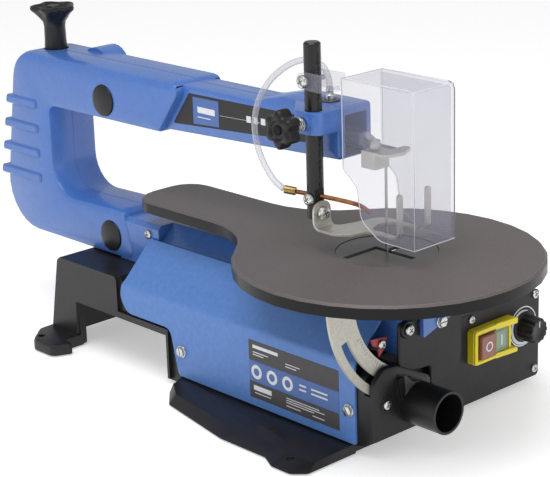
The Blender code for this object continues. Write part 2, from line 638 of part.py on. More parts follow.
# ---------------------------------------------------------------- motor and drive
def make_motor():
    profile = [(0, 94), (30, 93), (40, 88), (42, 80), (42, 10), (36, 0), (5.4, 0), (5.4, -1.5), (0, -1.5)]
    solid = [(radius, height) for radius, height in profile if height >= 0]
    motor = turned("motor", [*solid[:-1], (0.0, 0.0)], (62, *CRANK), (1, 0, 0), PLASTIC, ROOT, 32)
    cut(motor, rod((55, *CRANK), (80, *CRANK), 4.5, 16), "motor_shaft_bore")
    shaft = finish("motor_shaft", rod((7, *CRANK), (75, *CRANK), 4.0, 16), STEEL, CRANK_TURN)
    join(shaft, rod((6, *CRANK), (13, *CRANK), 15, 24), "eccentric_disc")
    pin = (CRANK[0] - CRANK_THROW, CRANK[1])
    join(shaft, rod((-5, *pin), (8, *pin), 3.2, 14), "crank_pin")
    fan = finish("cooling_fan", rod((34, *CRANK), (37, *CRANK), 16.5, 24), PLASTIC, CRANK_TURN)
    join(fan, rod((36, *CRANK), (46, *CRANK), 8, 16), "fan_hub")
    for number in range(6):
        angle = math.radians(60 * number)
        blade = box((36, 5, -1), (45, 15.5, 1))
        turn = Matrix.Translation((0, *CRANK)) @ Matrix.Rotation(angle, 4, "X")
        bmesh.ops.transform(blade, matrix=turn, verts=blade.verts)
        join(fan, blade, f"fan_blade_{number}")
    cut(fan, rod((30, *CRANK), (50, *CRANK), 4.3, 16), "fan_bore")
    turned(
        "bellows", [(0, 12), (9, 12), (11, 10), (9, 8), (11, 6), (9, 4), (11, 2), (9, 0), (0, 0)],
        (0, 368, 115), (0, 0, 1), RUBBER, steps=20,
    )
    turned(
        "cable_gland", [(0, 12), (5, 12), (6.5, 5), (8, 4), (8, 0), (0, 0)], (40, 386.5, 30), (0, 1, 0.2),
        PLASTIC, steps=16,
    )


# ---------------------------------------------------------------- table and its tilt
def table_outline(inset=0.0, steps=26):
    """The round front, hollow flanks and straight tail, counter-clockwise from the right flank."""
    radius = TABLE_RADIUS - inset
    flank = 85.0 + inset
    half = TAIL_HALF - inset
    reach = TABLE_RADIUS + 85.0
    across = TAIL_HALF + 85.0
    angle = math.degrees(math.acos(across / reach))
    flank_y = TABLE_CENTRE_Y + math.sqrt(reach**2 - across**2)
    rear = TABLE_REAR - inset
    corner = 25.0 - inset / 2
    right = arc((across, flank_y), flank, 180 + angle, 180, 5)
    rear_right = arc((half - corner, rear - corner), corner, 0, 90, 4)
    half_outline = right + rear_right
    front = arc((0, TABLE_CENTRE_Y), radius, 180 - angle, 360 + angle, steps)
    left = [(-a, b) for a, b in reversed(half_outline)]
    points = half_outline + left + front[1:-1]
    return [(a + TABLE_MIDDLE_X, b) for a, b in points]


def make_table():
    table = finish(
        "table", prism(table_outline(), "z", TABLE_TOP - TABLE_DEPTH, TABLE_TOP, 2.0, "high", 1),
        TABLE_GREY, TILT,
    )
    pocket = prism(table_outline(5.0, 20), "z", TABLE_TOP - TABLE_DEPTH - 5, TABLE_TOP - 6)
    helper = cut(table, pocket, "table_pocket")
    cut(helper, rod((0, 0, 130), (0, 0, 160), INSERT_RADIUS + 5, 40), "insert_boss")
    for number, y in enumerate((100, 180, 240)):
        cut(helper, box((-60, y - 2, 130), (60, y + 2, 160)), f"table_rib_{number}")
    cut(table, box((-24, -52, 130), (73, -18, 150)), "trunnion_notch")
    cut(table, rod((0, 0, TABLE_TOP - 3.4), (0, 0, TABLE_TOP + 5), INSERT_RADIUS + GAP, 40), "insert_seat")
    cut(table, rod((0, 0, 130), (0, 0, TABLE_TOP + 5), INSERT_RADIUS - 5, 40), "insert_hole")
    insert = finish(
        "table_insert", rod((0, 0, TABLE_TOP - 3), (0, 0, TABLE_TOP - 0.4), INSERT_RADIUS, 40), PLASTIC,
        TILT,
    )
    cut(insert, box((-2.7, -29.5, 140), (2.7, 15, 170)), "blade_slot")
    cut(insert, box((-36, 9.5, 140), (0, 15, 170)), "blade_entry")
    cut(insert, box((0, -3, 140), (14, 3, 170)), "tilt_clearance")


def band(inner, outer, start, end, steps=14):
    """Outline of a ring segment round the tilt axis; angles in degrees."""
    centre = (0, TILT_Z)
    return arc(centre, outer, start, end, steps) + arc(centre, inner, end, start, steps)


def make_tilt():
    quadrant = finish("tilt_quadrant", prism(band(76, 104, 181, 242), "y", -36.5, -33.5), SILVER, TILT)
    join(quadrant, box((-104, -36.5, 138), (-77, -33.5, 149.7)), "quadrant_tab")
    cut(quadrant, prism(band(89, 97, 201, 238, 10), "y", -40, -30), "quadrant_slot_cut")
    plate = rounded([(-16, 149.7), (-9, 134, 6), (9, 134, 6), (49, 140, 4), (70, 146, 3), (70, 149.7)])
    trunnion = finish("table_trunnion", prism(plate, "y", -37, -33.5), BLACK, TILT)
    join(trunnion, prism(band(51, 68, 365, 299, 12), "y", -37, -33.5), "lock_arc")
    join(trunnion, box((-16, -35, 146.5), (70, -20, 149.7)), "trunnion_foot")
    cut(trunnion, prism(band(56.3, 62.7, 357, 303, 10), "y", -45, -30), "lock_slot")
    cut(trunnion, rod((0, -50, TILT_Z), (0, -30, TILT_Z), 3.6, 16), "trunnion_bore")
    edge = [(-6.3, 93, 1), (30, 104, 8), (68, 124, 6), (68, 140, 6), (6.2, 143)]
    outline = rounded(edge) + arc((0, TILT_Z), 6.2, 15, 165, 6) + [(-6.3, 143)]
    bracket = finish("tilt_bracket", prism(outline, "y", -45, -41), BLUE)
    join(bracket, rod((-1, -42, 104), (-1, -40.3, 104), 5, 16), "bracket_spacer")
    cut(bracket, rod((0, -50, TILT_Z), (0, -30, TILT_Z), 3.6, 16), "bracket_bore")
    cut(bracket, rod((LOCK[0], -50, LOCK[1]), (LOCK[0], -30, LOCK[1]), 3.3, 16), "lock_bore")
    bolt = finish("tilt_pivot_bolt", rod((0, -48, TILT_Z), (0, -31, TILT_Z), 3.3, 16), STEEL)
    join(bolt, rod((0, -48.5, TILT_Z), (0, -45.4, TILT_Z), 5.5, 6), "tilt_bolt_head")
    screw_head("bracket_bolt", (15, -45 - GAP, 102), (0, -1, 0), 5.6)
    lobes = lobed(LOCK, 8.6, 1.0, 5, 12)
    lock = finish("tilt_lock_knob", prism(lobes, "y", -60, -47, 1.5, "low", 1), PLASTIC, LOCK_TURN)
    join(lock, rod((LOCK[0], -48, LOCK[1]), (LOCK[0], -31, LOCK[1]), 2.7, 14), "lock_bolt")
    pointer = prism([(-43.5, 84), (-37, 90), (-34, 99), (-52, 101), (-50, 95), (-44, 92)], "y", -31.5, -29.8)
    finish("pointer", pointer, RED)


# ---------------------------------------------------------------- post, hold-down, blower and guard
TUBE_ROUTE = [
    (-43.4, 59.1, 203.9), (-34.5, 46.0, 201.6), (-18.0, 22.0, 196.0), (-12.5, 14.0, 192.5),
    (-9.0, 9.0, 187.5),
]
HOSE_ROUTE = [
    (-4.0, 58.0, 284.5),
    (-4.5, 59.0, 292.0),
    (-7.0, 63.0, 301.0),
    (-15.0, 71.0, 306.5),
    (-26.0, 81.0, 303.0),
    (-37.0, 91.0, 292.0),
    (-44.0, 98.0, 277.0),
    (-47.0, 101.5, 262.0),
    (-48.0, 101.5, 248.0),
    (-48.5, 97.5, 234.0),
    (-49.0, 89.5, 221.5),
    (-49.5, 79.0, 211.5),
    (-49.0, 68.4, 206.0),
]


def make_post():
    post = finish("post", rod((*POST, 183), (*POST, 326.2), POST_RADIUS, 24), BLACK, POST_SLIDE)
    join(post, rod((*POST, 326.2), (*POST, 327.5), POST_RADIUS, 24, POST_RADIUS - 1.3), "post_tip")
    cut(post, box((-50, 30, 170), (-20, 41.5, 208)), "post_flat")
    along = Vector((-18.0, 22.0, 196.0)) - Vector((-34.5, 46.0, 201.6))
    middle = Vector((-34.5, 46.0, 201.6))
    cut(post, rod(middle - along, middle + along, 2.4, 12), "tube_hole")
    cut(post, rod((-50, POST[1], 297), (-20, POST[1], 297), 2.4, 12), "guard_screw_hole")
    tube("blow_tube", TUBE_ROUTE, 1.9, COPPER, POST_SLIDE, 1, 16)
    fitting = Vector((-43.6, 59.4, 204.1))
    out = Vector((-4.5, 8.2, 1.3))
    finish("hose_fitting", rod(fitting, fitting + out, 3.4, 14), BRASS, POST_SLIDE)
    screw_head(
        "blow_tube_screw", (POST[0] - POST_RADIUS - GAP, POST[1], 199.5), (-1, 0, 0), 5.0,
        parent=POST_SLIDE, height=4.0,
    )


def make_foot():
    left = [(-44, 40), (-45, 14, 9), (-38, 4, 5), (-21, 1, 4), (-21, -31), (-15, -31), (-15, 3, 6), (0, 9, 5)]
    right = [
        (11.6, 3, 5), (11.6, -31), (17.4, -31), (17.4, 12, 8), (12, 22, 6), (-10, 26, 10), (-23, 31, 6),
        (-25, 40),
    ]
    plan = left + right
    foot = finish("hold_down_foot", prism(rounded(plan, 3), "z", 175, 177), STEEL, FOOT_PIN)
    join(
        foot,
        prism(rounded([(-44, 176.5), (-25, 176.5), (-25, 198, 7), (-44, 198, 7)], 3), "y", 38.4, 40.4),
        "foot_upright",
    )
    for low, tag in ((-21, "left"), (11.6, "right")):
        join(
            foot,
            prism(
                rounded([(low, 176), (low + 5.8, 176), (low + 5.8, 213, 2.5), (low, 213, 2.5)], 3), "y",
                -32.5, -30.5,
            ),
            f"foot_tip_{tag}",
        )
    screw_head("foot_screw", (-34.5, 38.1, 188), (0, -1, 0), 5.5, parent=FOOT_PIN, height=4.5)


def make_guard():
    side_view = [
        (24, 300, 2), (24, 226, 8), (8, 213, 10), (4, 186, 14), (-16, 173, 16), (-54, 172), (-54, 299, 5),
    ]
    guard = finish("guard", prism(rounded(side_view), "x", -25.5, 22, 1.5, "both", 1), CLEAR, GUARD_PIN)
    inner = [(40, 297.6), (40, 150), (-51.6, 150), (-51.6, 296.6, 3)]
    cut(guard, prism(rounded(inner), "x", -23.1, 19.6), "guard_hollow")
    join(
        guard, prism(rounded([(20, 290), (54, 290, 7), (54, 304, 7), (20, 304)]), "x", -26.5, -23.6),
        "guard_cheek_right",
    )
    join(
        guard, prism(rounded([(22, 290), (54, 290, 7), (54, 304, 7), (22, 304)]), "x", -45, -42.4),
        "guard_cheek_left",
    )
    join(guard, box((-45, 21.6, 290), (-24, 24, 294)), "guard_web")
    for x in (-48, -30):
        cut(guard, rod((x, POST[1], 297), (x + 10, POST[1], 297), 2.7, 12), f"guard_pin_hole_{abs(x)}")
    screw = finish("guard_screw", rod((-47, POST[1], 297), (-22.6, POST[1], 297), 2.1, 12), STEEL, POST_SLIDE)
    join(screw, rod((-48.2, POST[1], 297), (-45.4, POST[1], 297), 5.4, 16), "guard_screw_head")


def make_clamp():
    lobes = lobed((POST[1], CLAMP_Z), 14.0, 2.0, 6, 10)
    knob = finish("clamp_knob", prism(lobes, "x", -76.5, -60.5, 2.0, "both", 1), PLASTIC, CLAMP_TURN)
    join(knob, rod((-61.5, POST[1], CLAMP_Z), (-57.5, POST[1], CLAMP_Z), 8, 18), "clamp_knob_boss")
    join(knob, rod((-58, POST[1], CLAMP_Z), (-42.0, POST[1], CLAMP_Z), 2.9, 14), "clamp_bolt")
    turns, steps, start, reach, radius = 4, 12, -56.4, 7.6, 5.4
    coil = []
    for number in range(turns * steps + 1):
        angle = 2 * math.pi * number / steps
        across = radius * math.cos(angle), radius * math.sin(angle)
        x = start + reach * number / (turns * steps)
        coil.append((x, POST[1] + across[0], CLAMP_Z + across[1]))
    tube("clamp_spring", coil, 0.7, STEEL, CLAMP_TURN, 1)


def make_blower():
    turned(
        "air_outlet",
        [(0, 284), (2.6, 284), (3.4, 281), (2.6, 279), (4.6, 277.5), (4.6, 272.8), (0, 272.8)],
        (-4, 58, 0), (0, 0, 1), BRASS, steps=14,
    )
    tube("air_hose", HOSE_ROUTE, 2.6, HOSE, ROOT, 2, 44)


def main():
    make_base()
    make_rubber_feet()
    make_side_cover()
    make_front()
    make_dust_housing()
    make_switch()
    make_speed_knob()
    make_casing()
    make_pivots()
    make_arms()
    make_tension()
    make_motor()
    make_table()
    make_tilt()
    make_post()
    make_foot()
    make_guard()
    make_clamp()
    make_blower()


main()
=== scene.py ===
"""The bench scroll saw's looks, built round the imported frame.

Lengths are in millimetres in blade coordinates: the blade stands on x = 0, y = 0, the operator is at
-Y and the floor is z = 0. at() turns such a place into the frame's metres.
"""

import json
import math

import bmesh
import bpy
from mathutils import Matrix, Vector


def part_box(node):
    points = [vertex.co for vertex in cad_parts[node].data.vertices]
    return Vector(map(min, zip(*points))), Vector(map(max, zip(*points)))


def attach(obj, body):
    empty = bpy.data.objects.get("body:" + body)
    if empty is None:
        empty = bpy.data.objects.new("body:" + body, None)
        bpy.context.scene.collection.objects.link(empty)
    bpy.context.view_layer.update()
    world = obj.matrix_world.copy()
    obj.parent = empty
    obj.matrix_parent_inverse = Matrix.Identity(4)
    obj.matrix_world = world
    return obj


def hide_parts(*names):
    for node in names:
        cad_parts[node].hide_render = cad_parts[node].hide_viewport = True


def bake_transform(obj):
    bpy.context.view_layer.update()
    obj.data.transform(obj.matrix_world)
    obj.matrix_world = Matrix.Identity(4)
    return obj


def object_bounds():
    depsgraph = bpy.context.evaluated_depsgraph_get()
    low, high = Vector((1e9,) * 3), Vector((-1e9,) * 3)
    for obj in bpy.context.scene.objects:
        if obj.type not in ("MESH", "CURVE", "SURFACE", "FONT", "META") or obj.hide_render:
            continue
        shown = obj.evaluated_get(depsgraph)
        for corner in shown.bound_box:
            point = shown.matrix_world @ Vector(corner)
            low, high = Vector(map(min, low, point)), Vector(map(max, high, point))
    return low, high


MM = 0.001

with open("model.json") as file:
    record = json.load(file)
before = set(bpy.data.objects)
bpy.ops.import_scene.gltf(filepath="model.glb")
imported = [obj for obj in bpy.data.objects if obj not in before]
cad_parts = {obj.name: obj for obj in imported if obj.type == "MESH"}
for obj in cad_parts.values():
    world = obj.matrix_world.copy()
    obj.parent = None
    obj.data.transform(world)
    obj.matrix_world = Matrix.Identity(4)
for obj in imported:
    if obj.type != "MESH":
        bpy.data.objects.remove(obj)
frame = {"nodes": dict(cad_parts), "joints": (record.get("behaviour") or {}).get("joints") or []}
cad_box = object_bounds()
JOINTS = {joint["name"]: joint for joint in frame["joints"]}
BLADE = Vector(JOINTS["blade_swing"]["pos_m"][:2])


def at(x, y, z):
    """A place in blade coordinates and millimetres, as a vector in the frame's metres."""
    return Vector((BLADE.x + x * MM, BLADE.y + y * MM, z * MM))


# Driving places, read from the frame where the frame holds them
TABLE_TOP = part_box("table")[1][2] / MM
TILT_Z = JOINTS["table_tilt"]["pos_m"][2] / MM
COVER_X = (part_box("side_cover")[0][0] - BLADE.x) / MM
PANEL_Y = (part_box("front_panel")[0][1] - BLADE.y) / MM
CLAMP_Z = JOINTS["clamp_knob_turn"]["pos_m"][2] / MM
DIAL = (142.3, 57.5)
INSERT_REACH = 50  # the round insert's edges lie within this of the blade
POST_SCREW_X = -45.6
GUARD_LEFT, GUARD_RIGHT = -25.0, 21.5

SHARP_ANGLE = 32  # degrees: faces that meet at more than this keep a sharp edge
CREASE = 0.3  # radians: an edge that turns more than this belongs to a rim
WELD = 0.00001  # metres: points this close are one
PRINT_DEPTH = 0.12
SEAM_RADIUS = 0.28
TABLE_LINE_RADIUS, TABLE_LINE_DROP = 0.28, 0.22
THROUGH = (-50, -20)  # a cutter's reach along y, right through the switch

HOSE_STEPS = 44
HOSE_RADIUS = 2.6
HOSE_ROUTE = [
    (-4.0, 58.0, 284.5),
    (-4.5, 59.0, 292.0),
    (-7.0, 63.0, 301.0),
    (-15.0, 71.0, 306.5),
    (-26.0, 81.0, 303.0),
    (-37.0, 91.0, 292.0),
    (-44.0, 98.0, 277.0),
    (-47.0, 101.5, 262.0),
    (-48.0, 101.5, 248.0),
    (-48.5, 97.5, 234.0),
    (-49.0, 89.5, 221.5),
    (-49.5, 79.0, 211.5),
    (-49.0, 68.4, 206.0),
]


# ---------------------------------------------------------------- camera
def make_camera():
    """A long lens, from the left front and a little above."""
    azimuth, elevation, roll = (math.radians(a) for a in (-42.57, 17.64, -1.82))
    back = Vector(
        (
            math.sin(azimuth) * math.cos(elevation),
            -math.cos(azimuth) * math.cos(elevation),
            math.sin(elevation),
        )
    )
    right = (-back).cross(Vector((0, 0, 1))).normalized()
    up = right.cross(-back)
    turned_right = right * math.cos(roll) + up * math.sin(roll)
    turned_up = up * math.cos(roll) - right * math.sin(roll)
    data = bpy.data.cameras.new("camera")
    data.sensor_width = 36.0
    data.lens = 115.7
    data.clip_end = 20.0
    camera = bpy.data.objects.new("camera", data)
    bpy.context.scene.collection.objects.link(camera)
    turn = Matrix((turned_right, turned_up, back)).transposed()
    camera.matrix_world = Matrix.Translation(at(-987.7, -941.6, 602.1)) @ turn.to_4x4()
    bpy.context.scene.camera = camera


# ---------------------------------------------------------------- materials
def surface(
    name,
    colour,
    roughness=0.5,
    metallic=0.0,
    coat=0.0,
    mottle=0.06,
    mottle_size=25.0,
    grain=0.15,
    grain_size=1.0,
    grain_depth=0.08,
    stretch=(1.0, 1.0, 1.0),
    specular=0.5,
    edge=0.6,
):
    """A procedural finish: mottle shifts the colour over mottle_size mm, grain is a fine relief,
    and edges look rounded by edge mm."""
    made = bpy.data.materials.new(name)
    made.use_nodes = True
    nodes, links = made.node_tree.nodes, made.node_tree.links
    shader = nodes["Principled BSDF"]
    shader.inputs["Metallic"].default_value = metallic
    shader.inputs["Coat Weight"].default_value = coat
    shader.inputs["Coat Roughness"].default_value = 0.12
    shader.inputs["Specular IOR Level"].default_value = specular
    coords = nodes.new("ShaderNodeTexCoord")
    mapping = nodes.new("ShaderNodeMapping")
    mapping.inputs["Scale"].default_value = stretch
    links.new(coords.outputs["Object"], mapping.inputs["Vector"])

    def noise(size, detail):
        texture = nodes.new("ShaderNodeTexNoise")
        texture.inputs["Scale"].default_value = 1.0 / (size * MM)
        texture.inputs["Detail"].default_value = detail
        links.new(mapping.outputs["Vector"], texture.inputs["Vector"])
        return texture

    def spread(source, low, high):
        ranged = nodes.new("ShaderNodeMapRange")
        ranged.inputs["From Min"].default_value = 0.3
        ranged.inputs["From Max"].default_value = 0.7
        ranged.inputs["To Min"].default_value = low
        ranged.inputs["To Max"].default_value = high
        links.new(source.outputs["Fac"], ranged.inputs["Value"])
        return ranged

    broad = noise(mottle_size, 4.0)
    fine = noise(grain_size, 3.0)
    value = spread(broad, 1.0 - mottle, 1.0 + mottle)
    tint = nodes.new("ShaderNodeHueSaturation")
    tint.inputs["Color"].default_value = (*colour, 1.0)
    links.new(value.outputs["Result"], tint.inputs["Value"])
    links.new(tint.outputs["Color"], shader.inputs["Base Color"])
    rough = spread(fine, roughness * 0.85, min(roughness * 1.2, 1.0))
    links.new(rough.outputs["Result"], shader.inputs["Roughness"])
    bump = nodes.new("ShaderNodeBump")
    bump.inputs["Strength"].default_value = grain
    bump.inputs["Distance"].default_value = grain_depth * MM
    links.new(fine.outputs["Fac"], bump.inputs["Height"])
    worn = nodes.new("ShaderNodeBevel")
    worn.samples = 4
    worn.inputs["Radius"].default_value = edge * MM
    links.new(worn.outputs["Normal"], bump.inputs["Normal"])
    links.new(bump.outputs["Normal"], shader.inputs["Normal"])
    return made


def clear_surface(name, colour, face_alpha, edge_alpha):
    """Clear plastic: faces let most light through, and surfaces seen at a slant hide more."""
    made = surface(name, colour, 0.06, mottle=0.02, grain=0.03, grain_size=6.0)
    nodes, links = made.node_tree.nodes, made.node_tree.links
    shader = nodes["Principled BSDF"]
    rim = nodes.new("ShaderNodeLayerWeight")
    rim.inputs["Blend"].default_value = 0.35
    opacity = nodes.new("ShaderNodeMapRange")
    opacity.inputs["To Min"].default_value = face_alpha
    opacity.inputs["To Max"].default_value = edge_alpha
    links.new(rim.outputs["Facing"], opacity.inputs["Value"])
    links.new(opacity.outputs["Result"], shader.inputs["Alpha"])
    return made


LOOK = {
    "blue": surface(
        "gloss_blue", (0.060, 0.165, 0.500), 0.30, coat=0.35, mottle=0.06, mottle_size=9.0,
        grain=0.30, grain_size=1.3, grain_depth=0.10,
    ),
    "cover": surface(
        "textured_blue", (0.082, 0.205, 0.530), 0.46, coat=0.10, mottle=0.07, mottle_size=5.0,
        grain=0.65, grain_size=1.1, grain_depth=0.22,
    ),
    "casting": surface(
        "black_casting", (0.013, 0.012, 0.013), 0.36, mottle=0.20, mottle_size=12.0,
        grain=0.40, grain_size=1.0, grain_depth=0.14, specular=0.40,
    ),
    "panel": surface(
        "black_panel", (0.019, 0.018, 0.019), 0.45, mottle=0.12, mottle_size=9.0,
        grain=0.30, grain_size=0.7, specular=0.30,
    ),
    "table": surface(
        "table_face", (0.118, 0.101, 0.096), 0.44, mottle=0.10, mottle_size=1.6,
        grain=0.30, grain_size=0.6, grain_depth=0.06, specular=0.45,
    ),
    "rim": surface("table_rim", (0.006, 0.006, 0.007), 0.30, grain=0.2, grain_size=0.8, specular=0.22),
    # a lighter tone painted as the highlight along the table's upper edge
    "edge": surface("table_edge_highlight", (0.20, 0.19, 0.18), 0.30, metallic=0.5, grain=0.2),
    "insert": surface("insert_face", (0.075, 0.067, 0.064), 0.34, mottle=0.10, mottle_size=1.6, grain=0.2),
    "plastic": surface(
        "black_plastic", (0.009, 0.009, 0.010), 0.34, mottle=0.12, mottle_size=8.0,
        grain=0.25, grain_size=0.5, specular=0.35,
    ),
    "rod": surface(
        "blackened_rod", (0.011, 0.010, 0.010), 0.26, mottle=0.25, mottle_size=6.0,
        grain=0.2, grain_size=0.6, specular=0.40, stretch=(1.0, 1.0, 0.12),
    ),
    "rubber": surface("rubber", (0.014, 0.014, 0.014), 0.85, grain=0.4, grain_size=0.7, specular=0.2),
    "steel": surface(
        "zinc", (0.60, 0.60, 0.58), 0.24, metallic=1.0, mottle=0.14, mottle_size=2.0,
        grain=0.30, grain_size=0.4, grain_depth=0.05,
    ),
    "dark_steel": surface(
        "oiled_steel", (0.16, 0.15, 0.15), 0.30, metallic=1.0, mottle=0.12, mottle_size=3.0, grain=0.2,
    ),
    "foot": surface(
        "brushed_foot", (0.60, 0.58, 0.52), 0.34, metallic=0.85, mottle=0.08, mottle_size=3.0,
        grain=0.35, grain_size=0.6, stretch=(0.15, 1.0, 1.0),
    ),
    "silver": surface(
        "speckled_silver", (0.50, 0.49, 0.43), 0.40, metallic=0.40, mottle=0.14, mottle_size=1.0,
        grain=0.45, grain_size=0.5, grain_depth=0.08,
    ),
    "brass": surface("brass", (0.42, 0.29, 0.10), 0.30, metallic=1.0, mottle=0.15, mottle_size=2.0),
    "copper": surface("copper", (0.34, 0.14, 0.06), 0.32, metallic=1.0, mottle=0.25, mottle_size=5.0),
    "yellow": surface("switch_yellow", (0.80, 0.66, 0.01), 0.35, coat=0.2, mottle=0.05, grain=0.15),
    "red": surface("red_button", (0.30, 0.11, 0.085), 0.35, coat=0.2, mottle=0.06),
    "green": surface("green_button", (0.24, 0.33, 0.22), 0.35, coat=0.2, mottle=0.06),
    "pointer": surface("pointer_red", (0.30, 0.012, 0.014), 0.35, coat=0.2, mottle=0.08),
    "ink": surface("dark_print", (0.052, 0.045, 0.048), 0.44, mottle=0.06, mottle_size=3.0, grain=0.1),
    "black_print": surface("black_print", (0.012, 0.012, 0.013), 0.36, grain=0.1, specular=0.4),
    "white": surface("white_print", (0.74, 0.76, 0.80), 0.45, mottle=0.04, mottle_size=3.0, grain=0.1),
    "band": surface("blue_print", (0.065, 0.145, 0.400), 0.40, mottle=0.04, mottle_size=3.0, grain=0.1),
    "clear": clear_surface("clear_plastic", (0.42, 0.42, 0.54), 0.10, 0.42),
    # pale lines painted as the highlight on the clear guard's edges, and a darker grey copy of them painted
    # as shade
    "painted_highlight_line": surface("painted_edge_highlight", (0.74, 0.74, 0.84), 0.15, mottle=0.05, grain=0.05),
    "painted_shade_line": surface("shaded_edge", (0.22, 0.22, 0.28), 0.15, mottle=0.05, grain=0.05),
    "hose": clear_surface("clear_hose", (0.60, 0.60, 0.66), 0.30, 0.95),
}

NODE_LOOKS = {
    "blue": "casing_left casing_right tilt_bracket",
    "cover": "side_cover",
    "casting": "base table_trunnion",
    "panel": "front_panel pivot_cover",
    "rod": "post",
    "insert": "table_insert",
    "plastic": "control_box dust_housing speed_knob tension_knob motor cooling_fan cable_gland "
    "tilt_lock_knob "
    "clamp_knob upper_pivot_cap_left upper_pivot_cap_right lower_pivot_cap_left lower_pivot_cap_right",
    "rubber": "bellows rubber_foot_front_left rubber_foot_front_right "
    "rubber_foot_rear_left rubber_foot_rear_right",
    "dark_steel": "lower_arm tension_rod motor_shaft blade",
    "steel": "upper_pivot_bolt lower_pivot_bolt upper_arm holder_screw air_outlet "
    "tilt_pivot_bolt blow_tube_screw foot_screw guard_screw clamp_spring "
    "cover_screw_rear cover_screw_front bracket_bolt",
    "foot": "hold_down_foot upper_blade_holder",
    "silver": "tilt_quadrant",
    "brass": "upper_pivot_bush lower_pivot_bush hose_fitting",
    "copper": "blow_tube",
    "yellow": "switch_housing",
    "red": "off_button",
    "green": "on_button",
    "pointer": "pointer",
    "clear": "guard",
}


def round_off(node):
    """Shades a CAD node's round faces smooth: its faces are welded, then split again at sharp edges."""
    node.data.shade_smooth()
    weld = node.modifiers.new("weld", "WELD")
    weld.merge_threshold = WELD
    split = node.modifiers.new("sharp_edges", "EDGE_SPLIT")
    split.use_edge_sharp = False
    split.split_angle = math.radians(SHARP_ANGLE)


def paint_frame():
    """Gives each CAD node its finish and shades its round faces smooth."""
    for look, names in NODE_LOOKS.items():
        for name in names.split():
            node = frame["nodes"][name]
            node.data.materials.clear()
            node.data.materials.append(LOOK[look])
            round_off(node)
    table = frame["nodes"]["table"]
    table.data.materials.clear()
    table.data.materials.append(LOOK["table"])
    table.data.materials.append(LOOK["rim"])
    for face in table.data.polygons:
        face.material_index = 0 if face.normal.z > 0.4 else 1
    round_off(table)


# ---------------------------------------------------------------- helpers for pieces
def piece(name, bm, look, body, angle=SHARP_ANGLE):
    """A bmesh in millimetres and blade coordinates becomes a piece that rides on a body."""
    bmesh.ops.recalc_face_normals(bm, faces=bm.faces)
    for vert in bm.verts:
        vert.co = at(*vert.co)
    mesh = bpy.data.meshes.new(name)
    bm.to_mesh(mesh)
    bm.free()
    mesh.materials.append(LOOK[look])
    mesh.shade_smooth()
    mesh.set_sharp_from_angle(angle=math.radians(angle))
    made = bpy.data.objects.new(name, mesh)
    bpy.context.scene.collection.objects.link(made)
    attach(made, body)
    return made


def merge(target, *others):
    """Adds other bmeshes to target and frees them."""
    for other in others:
        mesh = bpy.data.meshes.new("part")
        other.to_mesh(mesh)
        other.free()
        target.from_mesh(mesh)
        bpy.data.meshes.remove(mesh)
    return target


def carve(bm, cutter):
    """bm less the cutter, both in millimetres."""
    objects = []
    for shape in (bm, cutter):
        bmesh.ops.recalc_face_normals(shape, faces=shape.faces)
        mesh = bpy.data.meshes.new("work")
        shape.to_mesh(mesh)
        shape.free()
        item = bpy.data.objects.new("work", mesh)
        bpy.context.scene.collection.objects.link(item)
        objects.append(item)
    step = objects[0].modifiers.new("cut", "BOOLEAN")
    step.operation = "DIFFERENCE"
    step.object = objects[1]
    step.solver = "EXACT"
    graph = bpy.context.evaluated_depsgraph_get()
    done = bmesh.new()
    done.from_mesh(objects[0].evaluated_get(graph).to_mesh())
    for item in objects:
        mesh = item.data
        bpy.data.objects.remove(item)
        bpy.data.meshes.remove(mesh)
    return done


def rounded(corners, steps=5):
    """An outline from corners (a, b) or (a, b, radius), each radius drawn as an arc."""
    outline = []
    count = len(corners)
    for index, corner in enumerate(corners):
        here = Vector(corner[:2])
        radius = corner[2] if len(corner) > 2 else 0.0
        if radius <= 0:
            outline.append(tuple(here))
            continue
        before = Vector(corners[index - 1][:2]) - here
        after = Vector(corners[(index + 1) % count][:2]) - here
        half = before.angle(after) / 2
        start = here + before.normalized() * (radius / math.tan(half))
        middle = (before.normalized() + after.normalized()).normalized()
        centre = here + middle * (radius / math.sin(half))
        turn = math.pi - 2 * half
        if before.cross(after) > 0:
            turn = -turn
        arm = start - centre
        for step in range(steps + 1):
            angle = turn * step / steps
            cos, sin = math.cos(angle), math.sin(angle)
            outline.append((centre.x + arm.x * cos - arm.y * sin, centre.y + arm.x * sin + arm.y * cos))
    return outline


def arc(centre, radius, start, end, steps):
    """Points on a circle from angle start to angle end, in degrees."""
    angles = [math.radians(start + (end - start) * step / steps) for step in range(steps + 1)]
    return [(centre[0] + radius * math.cos(a), centre[1] + radius * math.sin(a)) for a in angles]


PLACES = {
    "x": lambda a, b, t: (t, a, b),
    "y": lambda a, b, t: (a, t, b),
    "z": lambda a, b, t: (a, b, t),
}


def prism(outline, axis, low, high, bevel=0.0, segments=2):
    """An outline pushed along an axis, with rounded rims where bevel is given."""
    place = PLACES[axis]
    bm = bmesh.new()
    rings = [[bm.verts.new(place(a, b, level)) for a, b in outline] for level in (low, high)]
    bm.faces.new(rings[0])
    bm.faces.new(rings[1][::-1])
    for index in range(len(outline)):
        after = (index + 1) % len(outline)
        bm.faces.new((rings[0][index], rings[0][after], rings[1][after], rings[1][index]))
    bmesh.ops.recalc_face_normals(bm, faces=bm.faces)
    if bevel > 0:
        rims = [edge for ring in rings for edge in bm.edges if all(vert in ring for vert in edge.verts)]
        bmesh.ops.bevel(bm, geom=rims, offset=bevel, segments=segments, profile=0.5, affect="EDGES")
    return bm


